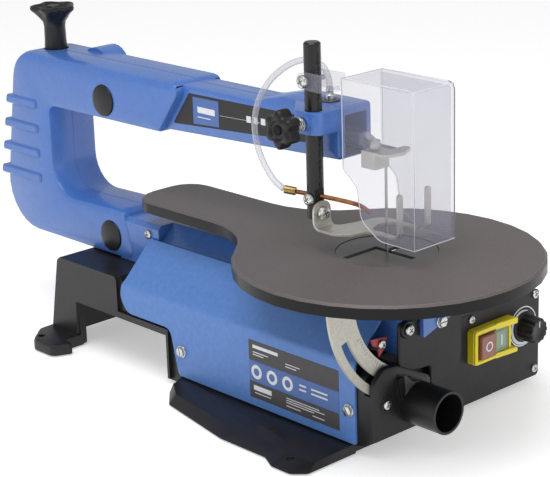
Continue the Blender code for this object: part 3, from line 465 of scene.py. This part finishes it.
def lathe(profile, place, along, steps=32, wobble=None):
    """A profile of (radius, height) turned round the axis along through place.

    wobble(angle, radius, height) gives another radius there, for lobes, flutes and knurls.
    """
    bm = bmesh.new()
    turn = Vector((0, 0, 1)).rotation_difference(Vector(along)).to_matrix()
    rings = []
    for radius, height in profile:
        ring = []
        for step in range(steps):
            angle = 2 * math.pi * step / steps
            reach = wobble(angle, radius, height) if wobble else radius
            local = Vector((reach * math.cos(angle), reach * math.sin(angle), height))
            ring.append(bm.verts.new(Vector(place) + turn @ local))
        rings.append(ring)
    for lower, upper in zip(rings, rings[1:]):
        for step in range(steps):
            after = (step + 1) % steps
            bm.faces.new((lower[step], lower[after], upper[after], upper[step]))
    bm.faces.new(rings[0][::-1])
    bm.faces.new(rings[-1])
    bmesh.ops.remove_doubles(bm, verts=bm.verts, dist=0.001)
    bmesh.ops.recalc_face_normals(bm, faces=bm.faces)
    return bm


def block(low, high):
    """A box from its low corner to its high corner."""
    bm = bmesh.new()
    bmesh.ops.create_cube(bm, size=1.0)
    bmesh.ops.scale(bm, vec=[b - a for a, b in zip(low, high)], verts=bm.verts)
    bmesh.ops.translate(bm, vec=[(a + b) / 2 for a, b in zip(low, high)], verts=bm.verts)
    return bm


def placed(bm, place, along, spin=0.0):
    """Moves a shape drawn round the origin and up Z to place, its Z along the given direction."""
    turn = Vector((0, 0, 1)).rotation_difference(Vector(along)).to_matrix().to_4x4()
    matrix = Matrix.Translation(place) @ turn @ Matrix.Rotation(math.radians(spin), 4, "Z")
    bmesh.ops.transform(bm, matrix=matrix, verts=bm.verts)
    return bm


def smooth_route(points, count):
    """A Catmull-Rom curve through the points, read at count even steps of its parameter."""
    known = [Vector(p) for p in points]
    known = [2 * known[0] - known[1]] + known + [2 * known[-1] - known[-2]]
    route = []
    spans = len(known) - 3
    for step in range(count):
        along = spans * step / (count - 1)
        span = min(int(along), spans - 1)
        t = along - span
        a, b, c, d = known[span : span + 4]
        bend = (2 * a - 5 * b + 4 * c - d) * t**2 + (3 * b - a - 3 * c + d) * t**3
        route.append(0.5 * (2 * b + (c - a) * t + bend))
    return route


def tube(name, points, radius, look, body, count=0, sides=4):
    """A round rod along points; count above 0 reads a smooth curve through them."""
    curve = bpy.data.curves.new(name, "CURVE")
    curve.dimensions = "3D"
    curve.bevel_depth = radius * MM
    curve.bevel_resolution = sides
    curve.use_fill_caps = True
    spline = curve.splines.new("POLY")
    route = smooth_route(points, count) if count else [Vector(p) for p in points]
    spline.points.add(len(route) - 1)
    for point, place in zip(spline.points, route):
        point.co = (*at(*place), 1.0)
    spline.use_smooth = True
    made = bpy.data.objects.new(name, curve)
    bpy.context.scene.collection.objects.link(made)
    curve.materials.append(LOOK[look])
    if body:
        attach(made, body)
    return made


# ---------------------------------------------------------------- fasteners
def pan_head(name, place, along, radius, body, stands_for=None, spin=20.0):
    """A domed screw head with a cross recess."""
    height = radius * 0.62
    dome = [
        (0.0, -0.2),
        (radius * 0.96, -0.2),
        (radius, 0.1),
        (radius, height * 0.35),
        (radius * 0.93, height * 0.65),
        (radius * 0.72, height * 0.88),
        (radius * 0.4, height * 0.98),
        (0.0, height),
    ]
    head = lathe(dome, (0, 0, 0), (0, 0, 1), 28)
    long, wide = radius * 0.56, radius * 0.13
    for size in ((long, wide), (wide, long)):
        arm = block((-size[0], -size[1], height * 0.35), (size[0], size[1], height * 1.3))
        head = carve(head, arm)
    made = piece(name, placed(head, place, along, spin), "steel", body)
    if stands_for:
        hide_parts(stands_for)
    return made


def hex_head(name, place, along, radius, body, stands_for=None, spin=10.0):
    """A six-sided screw head with a flange, a slot and a rounded top."""
    flange = lathe(
        [(0, 0), (radius, 0), (radius, 0.7), (radius * 0.93, 1.0), (0, 1.0)], (0, 0, 0), (0, 0, 1), 30,
    )
    hexagon = arc((0, 0), radius * 0.86, 0, 300, 5)
    head = prism(hexagon, "z", 0.8, 3.4, 0.5)
    slot = block((-radius, -0.6, 2.2), (radius, 0.6, 6.0))
    head = merge(carve(head, slot), flange)
    made = piece(name, placed(head, place, along, spin), "steel", body)
    if stands_for:
        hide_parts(stands_for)
    return made


def make_screws():
    """Every visible screw and bolt head, with the seats that they stand in."""
    hex_head("cover_bolt_rear", (COVER_X - 0.1, 191, 36), (-1, 0, 0), 5.6, "frame", "cover_screw_rear")
    hex_head(
        "cover_bolt_front", (COVER_X - 0.1, -16, 40), (-1, 0, 0), 5.6, "frame", "cover_screw_front", 35,
    )
    for number, (x, z) in enumerate(((74, 82), (158, 83), (158, 14))):
        pan_head(f"panel_screw_{number + 1}", (x, PANEL_Y, z), (0, -1, 0), 3.8, "frame", spin=25 * number)
    hex_head("bracket_flange_bolt", (15, -45.1, 102), (0, -1, 0), 5.6, "frame", "bracket_bolt", 0)
    pan_head("pivot_cover_screw", (-21, -43.3, 104), (0, -1, 0), 4.6, "frame", spin=40)
    boss = [(0, 0), (7.5, 0), (7.5, 1.6), (6.8, 2.4), (5.4, 2.4), (5.2, 1.8), (0, 1.8)]
    piece(
        "pivot_cover_washer", lathe(boss, (-21, -40.6, 104), (0, -1, 0)), "plastic", "frame",
    )
    pan_head("dust_screw", (-48.0, -43.4, 48), (0, -1, 0), 4.0, "frame", spin=15)
    recess = [(0, 0), (6.2, 0), (6.2, 0.6), (5.4, 1.2), (4.6, 1.0), (4.4, 0.4), (0, 0.4)]
    piece(
        "dust_screw_seat", lathe(recess, (-48.0, -42.6, 48), (0, -1, 0)), "plastic", "frame",
    )
    pan_head("pointer_screw", (-40.5, -31.8, 94.5), (0, -1, 0), 4.2, "frame", spin=30)
    pan_head("casing_screw", (-26.1, 276, 118), (-1, 0, 0), 4.4, "frame", spin=10)
    pan_head("foot_screw_head", (-34.5, 37.9, 188), (0, -1, 0), 6.0, "foot_body", "foot_screw", 20)
    pan_head("tube_screw_head", (-41.8, 46, 199.5), (-1, 0, 0), 5.2, "post_body", "blow_tube_screw", 35)


# ---------------------------------------------------------------- printed blocks and marks
def sticker(name, outline, level, look, thick=0.18):
    """A thin printed patch facing -X, its back at x = level."""
    return piece(name, prism(rounded(outline, 4), "x", level - thick, level), look, "frame")


def bars(name, rows, plane, level, look):
    """Short printed bars (a0, a1, b0, b1) standing for lines of small print."""
    bm = bmesh.new()
    for a0, a1, b0, b1 in rows:
        low, high = level - PRINT_DEPTH, level
        merge(bm, prism([(a0, b0), (a1, b0), (a1, b1), (a0, b1)], plane, low, high))
    return piece(name, bm, look, "frame")


def make_cover_label():
    """Dark and blue printed fields with plain bars and discs, on the left cover."""
    face = COVER_X - 0.02
    sticker("label_top", [(-5, 53), (102, 53), (102, 71), (-5, 71)], face, "ink")
    sticker("label_middle", [(-5, 34), (102, 34), (102, 52.6), (-5, 52.6)], face, "band")
    sticker("label_bottom", [(-5, 19), (102, 19), (102, 33.6), (-5, 33.6)], face, "ink")
    over = face - 0.2
    rows = [
        (66, 97, 64.4, 67.4), (78, 97, 60.4, 61.3), (84, 97, 58.2, 59.1), (40, 57, 60.0, 60.9),
        (44, 57, 57.6, 58.5),
    ]
    bars("label_print_top", rows, "x", over, "white")
    discs = bmesh.new()
    fills = bmesh.new()
    for number in range(3):
        middle = (93 - 19 * number, 43.2)
        merge(discs, prism(arc(middle, 6.4, 0, 345, 23), "x", over - PRINT_DEPTH, over))
        merge(fills, prism(arc(middle, 3.4, 0, 345, 23), "x", over - 2 * PRINT_DEPTH, over - PRINT_DEPTH))
    piece("label_discs", discs, "white", "frame")
    piece("label_disc_fills", fills, "band", "frame")
    rows = [(33, 41, 45.4, 47.0), (33, 41, 41.4, 43.0), (8, 27, 45.4, 47.0), (8, 27, 41.4, 43.0)]
    bars("label_bars", rows, "x", over, "white")
    rows = [
        (75, 97, 26.4, 30.8), (76, 96, 23.6, 24.4), (18, 57, 29.6, 30.4), (12, 57, 27.6, 28.4),
        (24, 57, 25.6, 26.4),
    ]
    rows += [(40, 57, 22.6, 23.4), (12, 26, 22.6, 23.4)]
    bars("label_print_bottom", rows, "x", over, "white")


def make_arm_label():
    """The dark strip along the arm, with a blue patch and plain bars."""
    side = -19.02
    strip = [(66, 238.5, 1), (241, 227.6, 1), (218, 257.8, 1), (66, 259.6, 1)]
    sticker("arm_strip", strip, side, "black_print")
    patch = [(179, 233.2, 1), (213, 231.2, 1), (213, 255.6, 1), (179, 256, 1)]
    sticker("arm_patch", patch, side - 0.2, "band")
    bars(
        "arm_patch_print", [(184, 207, 242.2, 247.6), (190, 207, 238.0, 238.9)], "x", side - 0.4, "white",
    )
    line = [(84, 247.0), (178, 243.6), (178, 243.9), (84, 247.3)]
    piece("arm_strip_line", prism(line, "x", side - 0.3, side - 0.2), "white", "frame")
    rows = [(138 - 9.0 * n, 143.6 - 9.0 * n, 243.6 + 0.3 * n, 249.2 + 0.3 * n) for n in range(8)]
    bars("arm_strip_print", rows, "x", side - 0.2, "white")


def make_scale():
    """Fine degree marks along the quadrant's inner edge."""
    marks = bmesh.new()
    for number in range(25):
        angle = math.radians(206 + 2.4 * number)
        long = 4.2 if number % 5 == 0 else 2.4
        outward = Vector((math.cos(angle), 0, math.sin(angle)))
        across = Vector((-math.sin(angle), 0, math.cos(angle))) * 0.14
        start = Vector((0, 0, TILT_Z)) + outward * 77.6
        end = start + outward * long
        corners = [start - across, start + across, end + across, end - across]
        merge(marks, prism([(c.x, c.z) for c in corners], "y", -36.60, -36.5))
    piece("quadrant_marks", marks, "ink", "tilting_table")


# ---------------------------------------------------------------- controls
def make_switch():
    """The yellow frame's raised lips and rim, and the O and I on the buttons."""
    face = (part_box("switch_housing")[0][1] - BLADE.y) / MM
    for tag, low, high in (("upper", 69.0, 74.6), ("lower", 43.0, 47.6)):
        outline = rounded([(96, low, 1.2), (122, low, 1.2), (122, high, 2.0), (96, high, 2.0)])
        lip = prism(outline, "y", face - 3.4, PANEL_Y - 0.2, 0.7)
        for vert in lip.verts:
            if vert.co.y < face - 1.5 and vert.co.x < 102:
                vert.co.y = face - 0.6
        piece(f"switch_lip_{tag}", lip, "yellow", "frame")
    rim = prism(
        rounded([(69.3, 43.6, 2.8), (98, 43.6, 1), (98, 74.0, 1), (69.3, 74.0, 2.8)]), "y", face - 0.9,
        face + 1.0, 0.5,
    )
    inside = rounded([(72.6, 46.2, 1.5), (130, 46.2), (130, 70.6), (72.6, 70.6, 1.5)])
    piece("switch_rim", carve(rim, prism(inside, "y", *THROUGH)), "yellow", "frame")
    low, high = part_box("off_button")
    left, right = (low[0] - BLADE.x) / MM, (high[0] - BLADE.x) / MM
    bottom, top, off_face = low[2] / MM, high[2] / MM, (low[1] - BLADE.y) / MM
    middle = ((left + right) / 2, (bottom + top) / 2)
    disc = lathe([(0, 0), (4.4, 0), (4.4, 0.35), (0, 0.35)], (0, 0, 0), (0, 0, 1), 36)
    ring = carve(disc, lathe([(0, -1), (3.0, -1), (3.0, 2), (0, 2)], (0, 0, 0), (0, 0, 1), 36))
    place = (middle[0], off_face + 0.05, middle[1])
    piece("off_mark", placed(ring, place, (0, -1, 0)), "white", "off_button_body")
    low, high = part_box("on_button")
    centre = (low[0] + high[0]) / 2 / MM - BLADE.x / MM, (low[2] + high[2]) / 2 / MM
    on_face = (low[1] - BLADE.y) / MM
    mark = [
        (a * 0.8 + centre[0], b * 4.8 + centre[1], 0.5)
        for a, b in ((-1, -1), (1, -1), (1, 1), (-1, 1))
    ]
    piece(
        "on_mark", prism(rounded(mark), "y", on_face - 0.3, on_face + 0.05), "white", "on_button_body",
    )
    outer = [(a * 7.6 + centre[0], b * 8.6 + centre[1], 1) for a, b in ((-1, -1), (1, -1), (1, 1), (-1, 1))]
    inner = [
        (a * 6.8 + centre[0], b * 7.8 + centre[1], 0.6)
        for a, b in ((-1, -1), (1, -1), (1, 1), (-1, 1))
    ]
    edge = carve(
        prism(rounded(outer), "y", on_face - 0.35, on_face + 0.1), prism(rounded(inner), "y", *THROUGH),
    )
    piece("on_button_edge", edge, "green", "on_button_body")


def make_speed_dial():
    """The printed rings round the speed knob, and its fluted cap with a pointer line."""
    centre = DIAL
    ring = arc(centre, 18.2, 0, 360, 60)
    hole = arc(centre, 17.1, 360, 0, 60)
    piece(
        "dial_ring", prism(ring + hole, "y", PANEL_Y - 0.22, PANEL_Y - 0.02), "white", "frame",
    )
    steps = 40
    outside, inside = [], []
    for step in range(steps + 1):
        angle = math.radians(62 + 250 * step / steps)
        swell = math.sin(math.pi * step / steps) ** 0.6
        for line, radius in (
            (outside, 14.6 + 2.6 * step / steps), (inside, 14.4 + 2.2 * step / steps - 2.6 * swell),
        ):
            line.append((centre[0] + radius * math.cos(angle), centre[1] + radius * math.sin(angle)))
    band = prism(outside + inside[::-1], "y", PANEL_Y - 0.22, PANEL_Y - 0.02)
    piece("dial_crescent", band, "white", "frame")

    def flutes(angle, radius, height):
        fluted = height > 1.0 and radius > 9
        return radius + (0.55 * math.cos(12 * angle) if fluted else 0.0)

    profile = [
        (0, -4), (13, -4), (13.2, -2.6), (12.4, -2), (11.6, -1.6), (11.4, 1.2), (10.8, 13.0),
        (10.0, 14.1), (7.0, 14.2), (6.0, 13.6), (0, 13.5),
    ]
    knob = lathe(profile, (centre[0], -30.4, centre[1]), (0, -1, 0), 72, flutes)
    made = piece("speed_cap", knob, "plastic", "speed_knob_body", 40)
    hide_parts("speed_knob")
    line = block((centre[0] - 0.5, -44.6, centre[1] + 3.5), (centre[0] + 0.5, -44.0, centre[1] + 9.0))
    piece("speed_line", line, "white", "speed_knob_body")


def make_knobs():
    """The tension knob with its scalloped, hollow top, and the clamp knob with its lobes."""

    def scallops(angle, radius, height):
        return radius + (2.4 * math.cos(5 * angle) - 1.2 if radius > 17 else 0.0)

    profile = [
        (0, 262.5), (11.0, 262.5), (11.2, 264), (10.4, 276), (10.2, 288), (11.0, 293), (14.0, 297),
        (18.0, 302.0), (20.8, 304.4),
    ]
    profile += [(21.4, 306.4), (20.6, 308.4), (18.6, 309.0), (17.4, 307.8), (9.0, 303.7), (6.8, 303.5)]
    profile += [(6.2, 307.4), (5.4, 308.4), (0, 308.6)]
    knob = lathe(profile, (0, 437, 0), (0, 0, 1), 80, scallops)
    made = piece("tension_knob_top", knob, "plastic", "tension_knob_body", 45)
    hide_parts("tension_knob")

    def lobes(angle, radius, height):
        return radius + (1.9 * math.cos(6 * angle) if radius > 10 else 0.0)

    profile = [
        (0, -2), (7.5, -2), (8.2, -1), (8.6, 0.6), (12.2, 1.2), (13.8, 2.4), (14.4, 4.4), (14.4, 11.0),
        (13.8, 13.4), (12.0, 15.0),
    ]
    profile += [(9.0, 15.6), (7.6, 14.6), (7.0, 13.8), (0, 13.6)]
    knob = lathe(profile, (-60.4, 46, CLAMP_Z), (-1, 0, 0), 84, lobes)
    merge(knob, lathe([(0, 0), (2.9, 0), (2.9, 17.4), (0, 17.4)], (-59.6, 46, CLAMP_Z), (1, 0, 0), 20))
    made = piece("clamp_knob_top", knob, "plastic", "clamp_body", 45)
    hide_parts("clamp_knob")
    tip = lathe([(0, 0), (4.2, 0), (4.2, 0.8), (3.4, 1.6), (0, 1.8)], (-74.0, 46, CLAMP_Z), (-1, 0, 0), 24)
    piece("clamp_knob_plug", tip, "rubber", "clamp_body")


# ---------------------------------------------------------------- blade end
def make_blade():
    """A toothed pin-end blade and the knurled screw above it."""
    teeth, pitch = 44, 2.4
    outline = [(1.4, 100.5), (1.4, 235.0), (-1.4, 235.0), (-1.4, 224.0)]
    for number in range(teeth):
        top = 223.0 - pitch * number
        outline += [(-0.8, top), (-1.45, top - pitch * 0.8)]
    outline += [(-1.4, 112.0), (-1.4, 100.5)]
    made = piece("toothed_blade", prism(outline, "x", -0.3, 0.3), "steel", "saw_blade", 20)
    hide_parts("blade")

    def knurl(angle, radius, height):
        return radius + (0.2 * math.cos(20 * angle) if radius > 3.7 else 0.0)

    profile = [(0, 0), (3.4, 0), (4.0, 0.6), (4.0, 7.2), (3.5, 8.0), (2.4, 8.1), (2.1, 7.4), (0, 7.3)]
    screw = lathe(profile, (-13, -1, 243.3), (0, 0, 1), 96, knurl)
    made = piece("knurled_screw", screw, "steel", "holder_screw_body", 40)
    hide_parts("holder_screw")


def make_insert_well():
    """The dark walls under the blade slot, which keep the light behind the saw from showing through."""
    top, foot = TABLE_TOP - 3.2, TABLE_TOP - 11.0
    outer = prism(rounded([(-9, -33, 4), (9, -33, 4), (9, 19, 4), (-9, 19, 4)], 3), "z", foot, top)
    inner = prism(rounded([(-8, -32, 3), (8, -32, 3), (8, 18, 3), (-8, 18, 3)], 3), "z", foot - 1, top + 1)
    piece("insert_well", carve(outer, inner), "plastic", "tilting_table")


def make_guard():
    """Pale lines painted as the highlight along the clear guard's edges, on its two side walls and across
    its front, with a grey line painted as shade at its front right corner.
    """
    profile = [
        (24, 300, 2), (24, 226, 8), (8, 213, 10), (4, 186, 14), (-16, 173, 16), (-53.5, 172.5),
        (-53.5, 299.4, 5),
    ]
    outline = rounded(profile, 6)
    outline = [(min(a, 23.5), min(b, 299.5)) for a, b in outline]
    for tag, x, radius in (("left", GUARD_LEFT, 0.42), ("right", GUARD_RIGHT, 0.22)):
        loop = [(x, a, b) for a, b in outline]
        tube(
            f"guard_edge_{tag}", loop + loop[:1], radius, "painted_highlight_line", "guard_body", 0,
            2,
        )
    # the front right corner's line is grey: painted shade
    corner = [(21.6, -53.5, 174), (21.6, -53.5, 294), (21.6, -52.0, 297.8), (21.6, -47.5, 299.4)]
    tube("guard_edge_corner", corner, 0.5, "painted_shade_line", "guard_body", 0, 2)
    lines = (("top", -53.0, 298.6, 0.42), ("bottom", -53.4, 172.6, 0.5), ("rear", 23.4, 299.4, 0.35))
    for tag, y, z, radius in lines:
        tube(
            f"guard_edge_{tag}", [(GUARD_LEFT, y, z), (GUARD_RIGHT, y, z)], radius, "painted_highlight_line",
            "guard_body", 0, 2,
        )
    pan_head("guard_screw_head", (-45.4, 46, 297), (-1, 0, 0), 5.4, "post_body", "guard_screw", 30)
    tube(
        "guard_screw_shaft", [(POST_SCREW_X, 46, 297), (-22.6, 46, 297)], 2.1, "steel", "post_body",
    )


def make_foot():
    """The hold-down foot: one strip bent up at the post and at the tips of its two prongs."""
    bend, thick, low = 5.0, 2.0, 175.0
    left = [
        (-44, 33.4), (-44.5, 16, 8), (-37, 5, 6), (-21, 1, 4), (-21, -25.5), (-15, -25.5), (-15, 3, 6),
        (0, 9, 5),
    ]
    right = [
        (11.6, 3, 5), (11.6, -25.5), (17.4, -25.5), (17.4, 12, 8), (12, 22, 6), (-10, 26, 10),
        (-23, 30, 6), (-25, 33.4),
    ]
    foot = prism(rounded(left + right, 4), "z", low, low + thick)
    middle = low + thick + bend
    rear = arc((33.4, middle), bend, 270, 360, 8) + arc((33.4, middle), bend + thick, 360, 270, 8)
    merge(foot, prism(rear, "x", -44, -25))
    upright = rounded([(-44, middle), (-25, middle), (-25, 198, 8), (-44, 198, 8)], 6)
    merge(foot, prism(upright, "y", 38.4, 40.4))
    tips = arc((-25.5, middle), bend, 270, 180, 8) + arc((-25.5, middle), bend + thick, 180, 270, 8)
    for edge in (-21.0, 11.6):
        merge(foot, prism(tips, "x", edge, edge + 5.8))
        corners = [(edge, middle), (edge + 5.8, middle), (edge + 5.8, 213, 2.6), (edge, 213, 2.6)]
        merge(foot, prism(rounded(corners, 5), "y", -32.5, -30.5))
    bmesh.ops.remove_doubles(foot, verts=foot.verts, dist=0.02)
    made = piece("bent_foot", foot, "foot", "foot_body")
    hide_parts("hold_down_foot")


def make_arm_end():
    """A black lining inside the arm's front end, painted shade that darkens its mouth, and the washer round
    the air outlet.
    """
    # a thin black sleeve inside the blue casing: painted shade in the arm's mouth
    outer = prism(
        rounded([(-16.2, 231.9, 2), (16.2, 231.9, 2), (16.2, 265.0, 2), (-16.2, 265.0, 2)]), "y", 34, 74,
    )
    inner = prism(
        rounded([(-15.7, 232.4, 2), (15.7, 232.4, 2), (15.7, 264.5, 2), (-15.7, 264.5, 2)]), "y", 30, 80,
    )
    piece("arm_mouth_painted_shade", carve(outer, inner), "plastic", "frame")
    washer = [(0, 0), (8.6, 0), (8.6, 1.0), (8.0, 1.4), (5.2, 1.4), (4.9, 1.0), (0, 1.0)]
    piece("outlet_washer", lathe(washer, (-4, 58, 272.6), (0, 0, 1), 32), "dark_steel", "frame")


def make_gusset():
    """The web that stiffens the dust port against its housing."""
    web = [(-31.5, 71, 1), (-22, 61, 8), (-10, 58.5), (-19, 53, 6), (-30.5, 41, 1), (-29, 56, 12)]
    piece("dust_port_web", prism(rounded(web), "y", -47.4, -46.0, 0.4), "ink", "frame")


def rim_edges(bm, axis, level):
    """The creased edges of bm that lie flat at level along an axis (0 for x, 2 for z)."""
    return [
        edge
        for edge in bm.edges
        if all(
            abs(vert.co[axis] - level) < WELD
            for vert in edge.verts
        ) and edge.calc_face_angle(0) > CREASE
    ]


def closed_line(name, places, radius, sides, look):
    """A thin round bead along a closed loop of places, which are in metres."""
    curve = bpy.data.curves.new(name, "CURVE")
    curve.dimensions = "3D"
    curve.bevel_depth = radius * MM
    curve.bevel_resolution = sides
    spline = curve.splines.new("POLY")
    spline.points.add(len(places) - 1)
    for point, place in zip(spline.points, places):
        point.co = (*place, 1.0)
    spline.use_cyclic_u = True
    made = bpy.data.objects.new(name, curve)
    bpy.context.scene.collection.objects.link(made)
    curve.materials.append(LOOK[look])
    return made


def rim_loops(bm, chosen):
    """The chosen edges as closed loops of places, for every loop that closes."""
    follow = {}
    for edge in chosen:
        for vert in edge.verts:
            follow.setdefault(vert, []).append(edge.other_vert(vert))
    left = {vert for vert, ends in follow.items() if len(ends) == 2}
    loops = []
    while left:
        start = min(left, key=lambda vert: vert.index)
        loop, before, here = [], None, start
        while here in left:
            left.discard(here)
            loop.append(here.co.copy())
            onward = [vert for vert in follow[here] if vert is not before]
            before, here = here, onward[0]
        if here is start and len(loop) > 8:
            loops.append(loop)
    return loops


def make_casing_seam():
    """A blue bead in the joint between the casing's halves, so that it reads as one shallow line."""
    bm = bmesh.new()
    bm.from_mesh(frame["nodes"]["casing_left"].data)
    bmesh.ops.remove_doubles(bm, verts=bm.verts, dist=WELD)
    bm.verts.index_update()
    inner_face = max(vert.co.x for vert in bm.verts)
    rear = cad_box[1][1] - SEAM_RADIUS * MM
    seam = rim_edges(bm, 0, inner_face)
    for number, loop in enumerate(rim_loops(bm, seam)):
        places = [(BLADE.x, min(place.y, rear), place.z) for place in loop]
        made = closed_line(f"casing_seam_{number}", places, SEAM_RADIUS, 1, "blue")
        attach(made, "frame")
    bm.free()


def make_table_edge():
    """A lighter, half-metal bead painted as the highlight round the table's upper edge."""
    top = TABLE_TOP * MM
    blade_place = Vector((BLADE.x, BLADE.y, top))
    bm = bmesh.new()
    bm.from_mesh(frame["nodes"]["table"].data)
    bmesh.ops.remove_doubles(bm, verts=bm.verts, dist=WELD)
    bm.verts.index_update()
    outer = []
    for edge in rim_edges(bm, 2, top):
        middle = (edge.verts[0].co + edge.verts[1].co) / 2
        if (middle - blade_place).length > INSERT_REACH * MM:
            outer.append(edge)
    (loop,) = rim_loops(bm, outer)
    bm.free()
    places = [(place.x, place.y, place.z - TABLE_LINE_DROP * MM) for place in loop]
    made = closed_line("table_edge_line", places, TABLE_LINE_RADIUS, 2, "edge")
    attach(made, "tilting_table")


# ---------------------------------------------------------------- light and floor
def make_studio():
    """A pale floor, an even white surround and three soft lights."""
    floor = bpy.data.meshes.new("floor")
    floor.from_pydata([(-8, -8, 0), (8, -8, 0), (8, 8, 0), (-8, 8, 0)], [], [(0, 1, 2, 3)])
    pale = surface("pale_floor", (0.90, 0.90, 0.90), 0.6, mottle=0.01, grain=0.02, specular=0.1)
    glow = pale.node_tree.nodes["Principled BSDF"].inputs
    glow["Emission Color"].default_value = (1.0, 1.0, 1.0, 1.0)
    glow["Emission Strength"].default_value = 0.42
    floor.materials.append(pale)
    stage = bpy.data.objects.new("floor", floor)
    bpy.context.scene.collection.objects.link(stage)
    world = bpy.data.worlds.new("studio")
    world.use_nodes = True
    surround = world.node_tree.nodes["Background"].inputs
    surround["Color"].default_value = (1.0, 1.0, 1.0, 1.0)
    surround["Strength"].default_value = 0.52
    bpy.context.scene.world = world
    bpy.context.scene.view_settings.view_transform = "Standard"
    lights = (
        ("key", (-500, -100, 1600), 1.1, 13.0),
        ("front", (-100, -1600, 800), 1.4, 4.5),
        ("left", (-1600, 600, 500), 1.2, 2.5),
    )
    for name, place, size, power in lights:
        data = bpy.data.lights.new(name, "AREA")
        data.shape = "SQUARE"
        data.size = size
        data.energy = power
        lamp = bpy.data.objects.new(name, data)
        bpy.context.scene.collection.objects.link(lamp)
        lamp.location = at(*place)
        lamp.rotation_euler = (at(0, 150, 120) - lamp.location).to_track_quat("-Z", "Y").to_euler()


def make_hose():
    """The clear hose from the outlet on the arm to the brass fitting behind the post."""
    drawn = tube("hose_line", HOSE_ROUTE, HOSE_RADIUS, "hose", None, HOSE_STEPS)
    graph = bpy.context.evaluated_depsgraph_get()
    mesh = bpy.data.meshes.new_from_object(drawn.evaluated_get(graph))
    bpy.data.objects.remove(drawn)
    mesh.shade_smooth()
    hose = bpy.data.objects.new("blower_hose", mesh)
    bpy.context.scene.collection.objects.link(hose)
    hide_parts("air_hose")
    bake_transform(hose)


make_camera()
make_hose()
paint_frame()
make_screws()
make_cover_label()
make_arm_label()
make_scale()
make_switch()
make_speed_dial()
make_knobs()
make_blade()
make_insert_well()
make_guard()
make_foot()
make_arm_end()
make_gusset()
make_casing_seam()
make_table_edge()
make_studio()
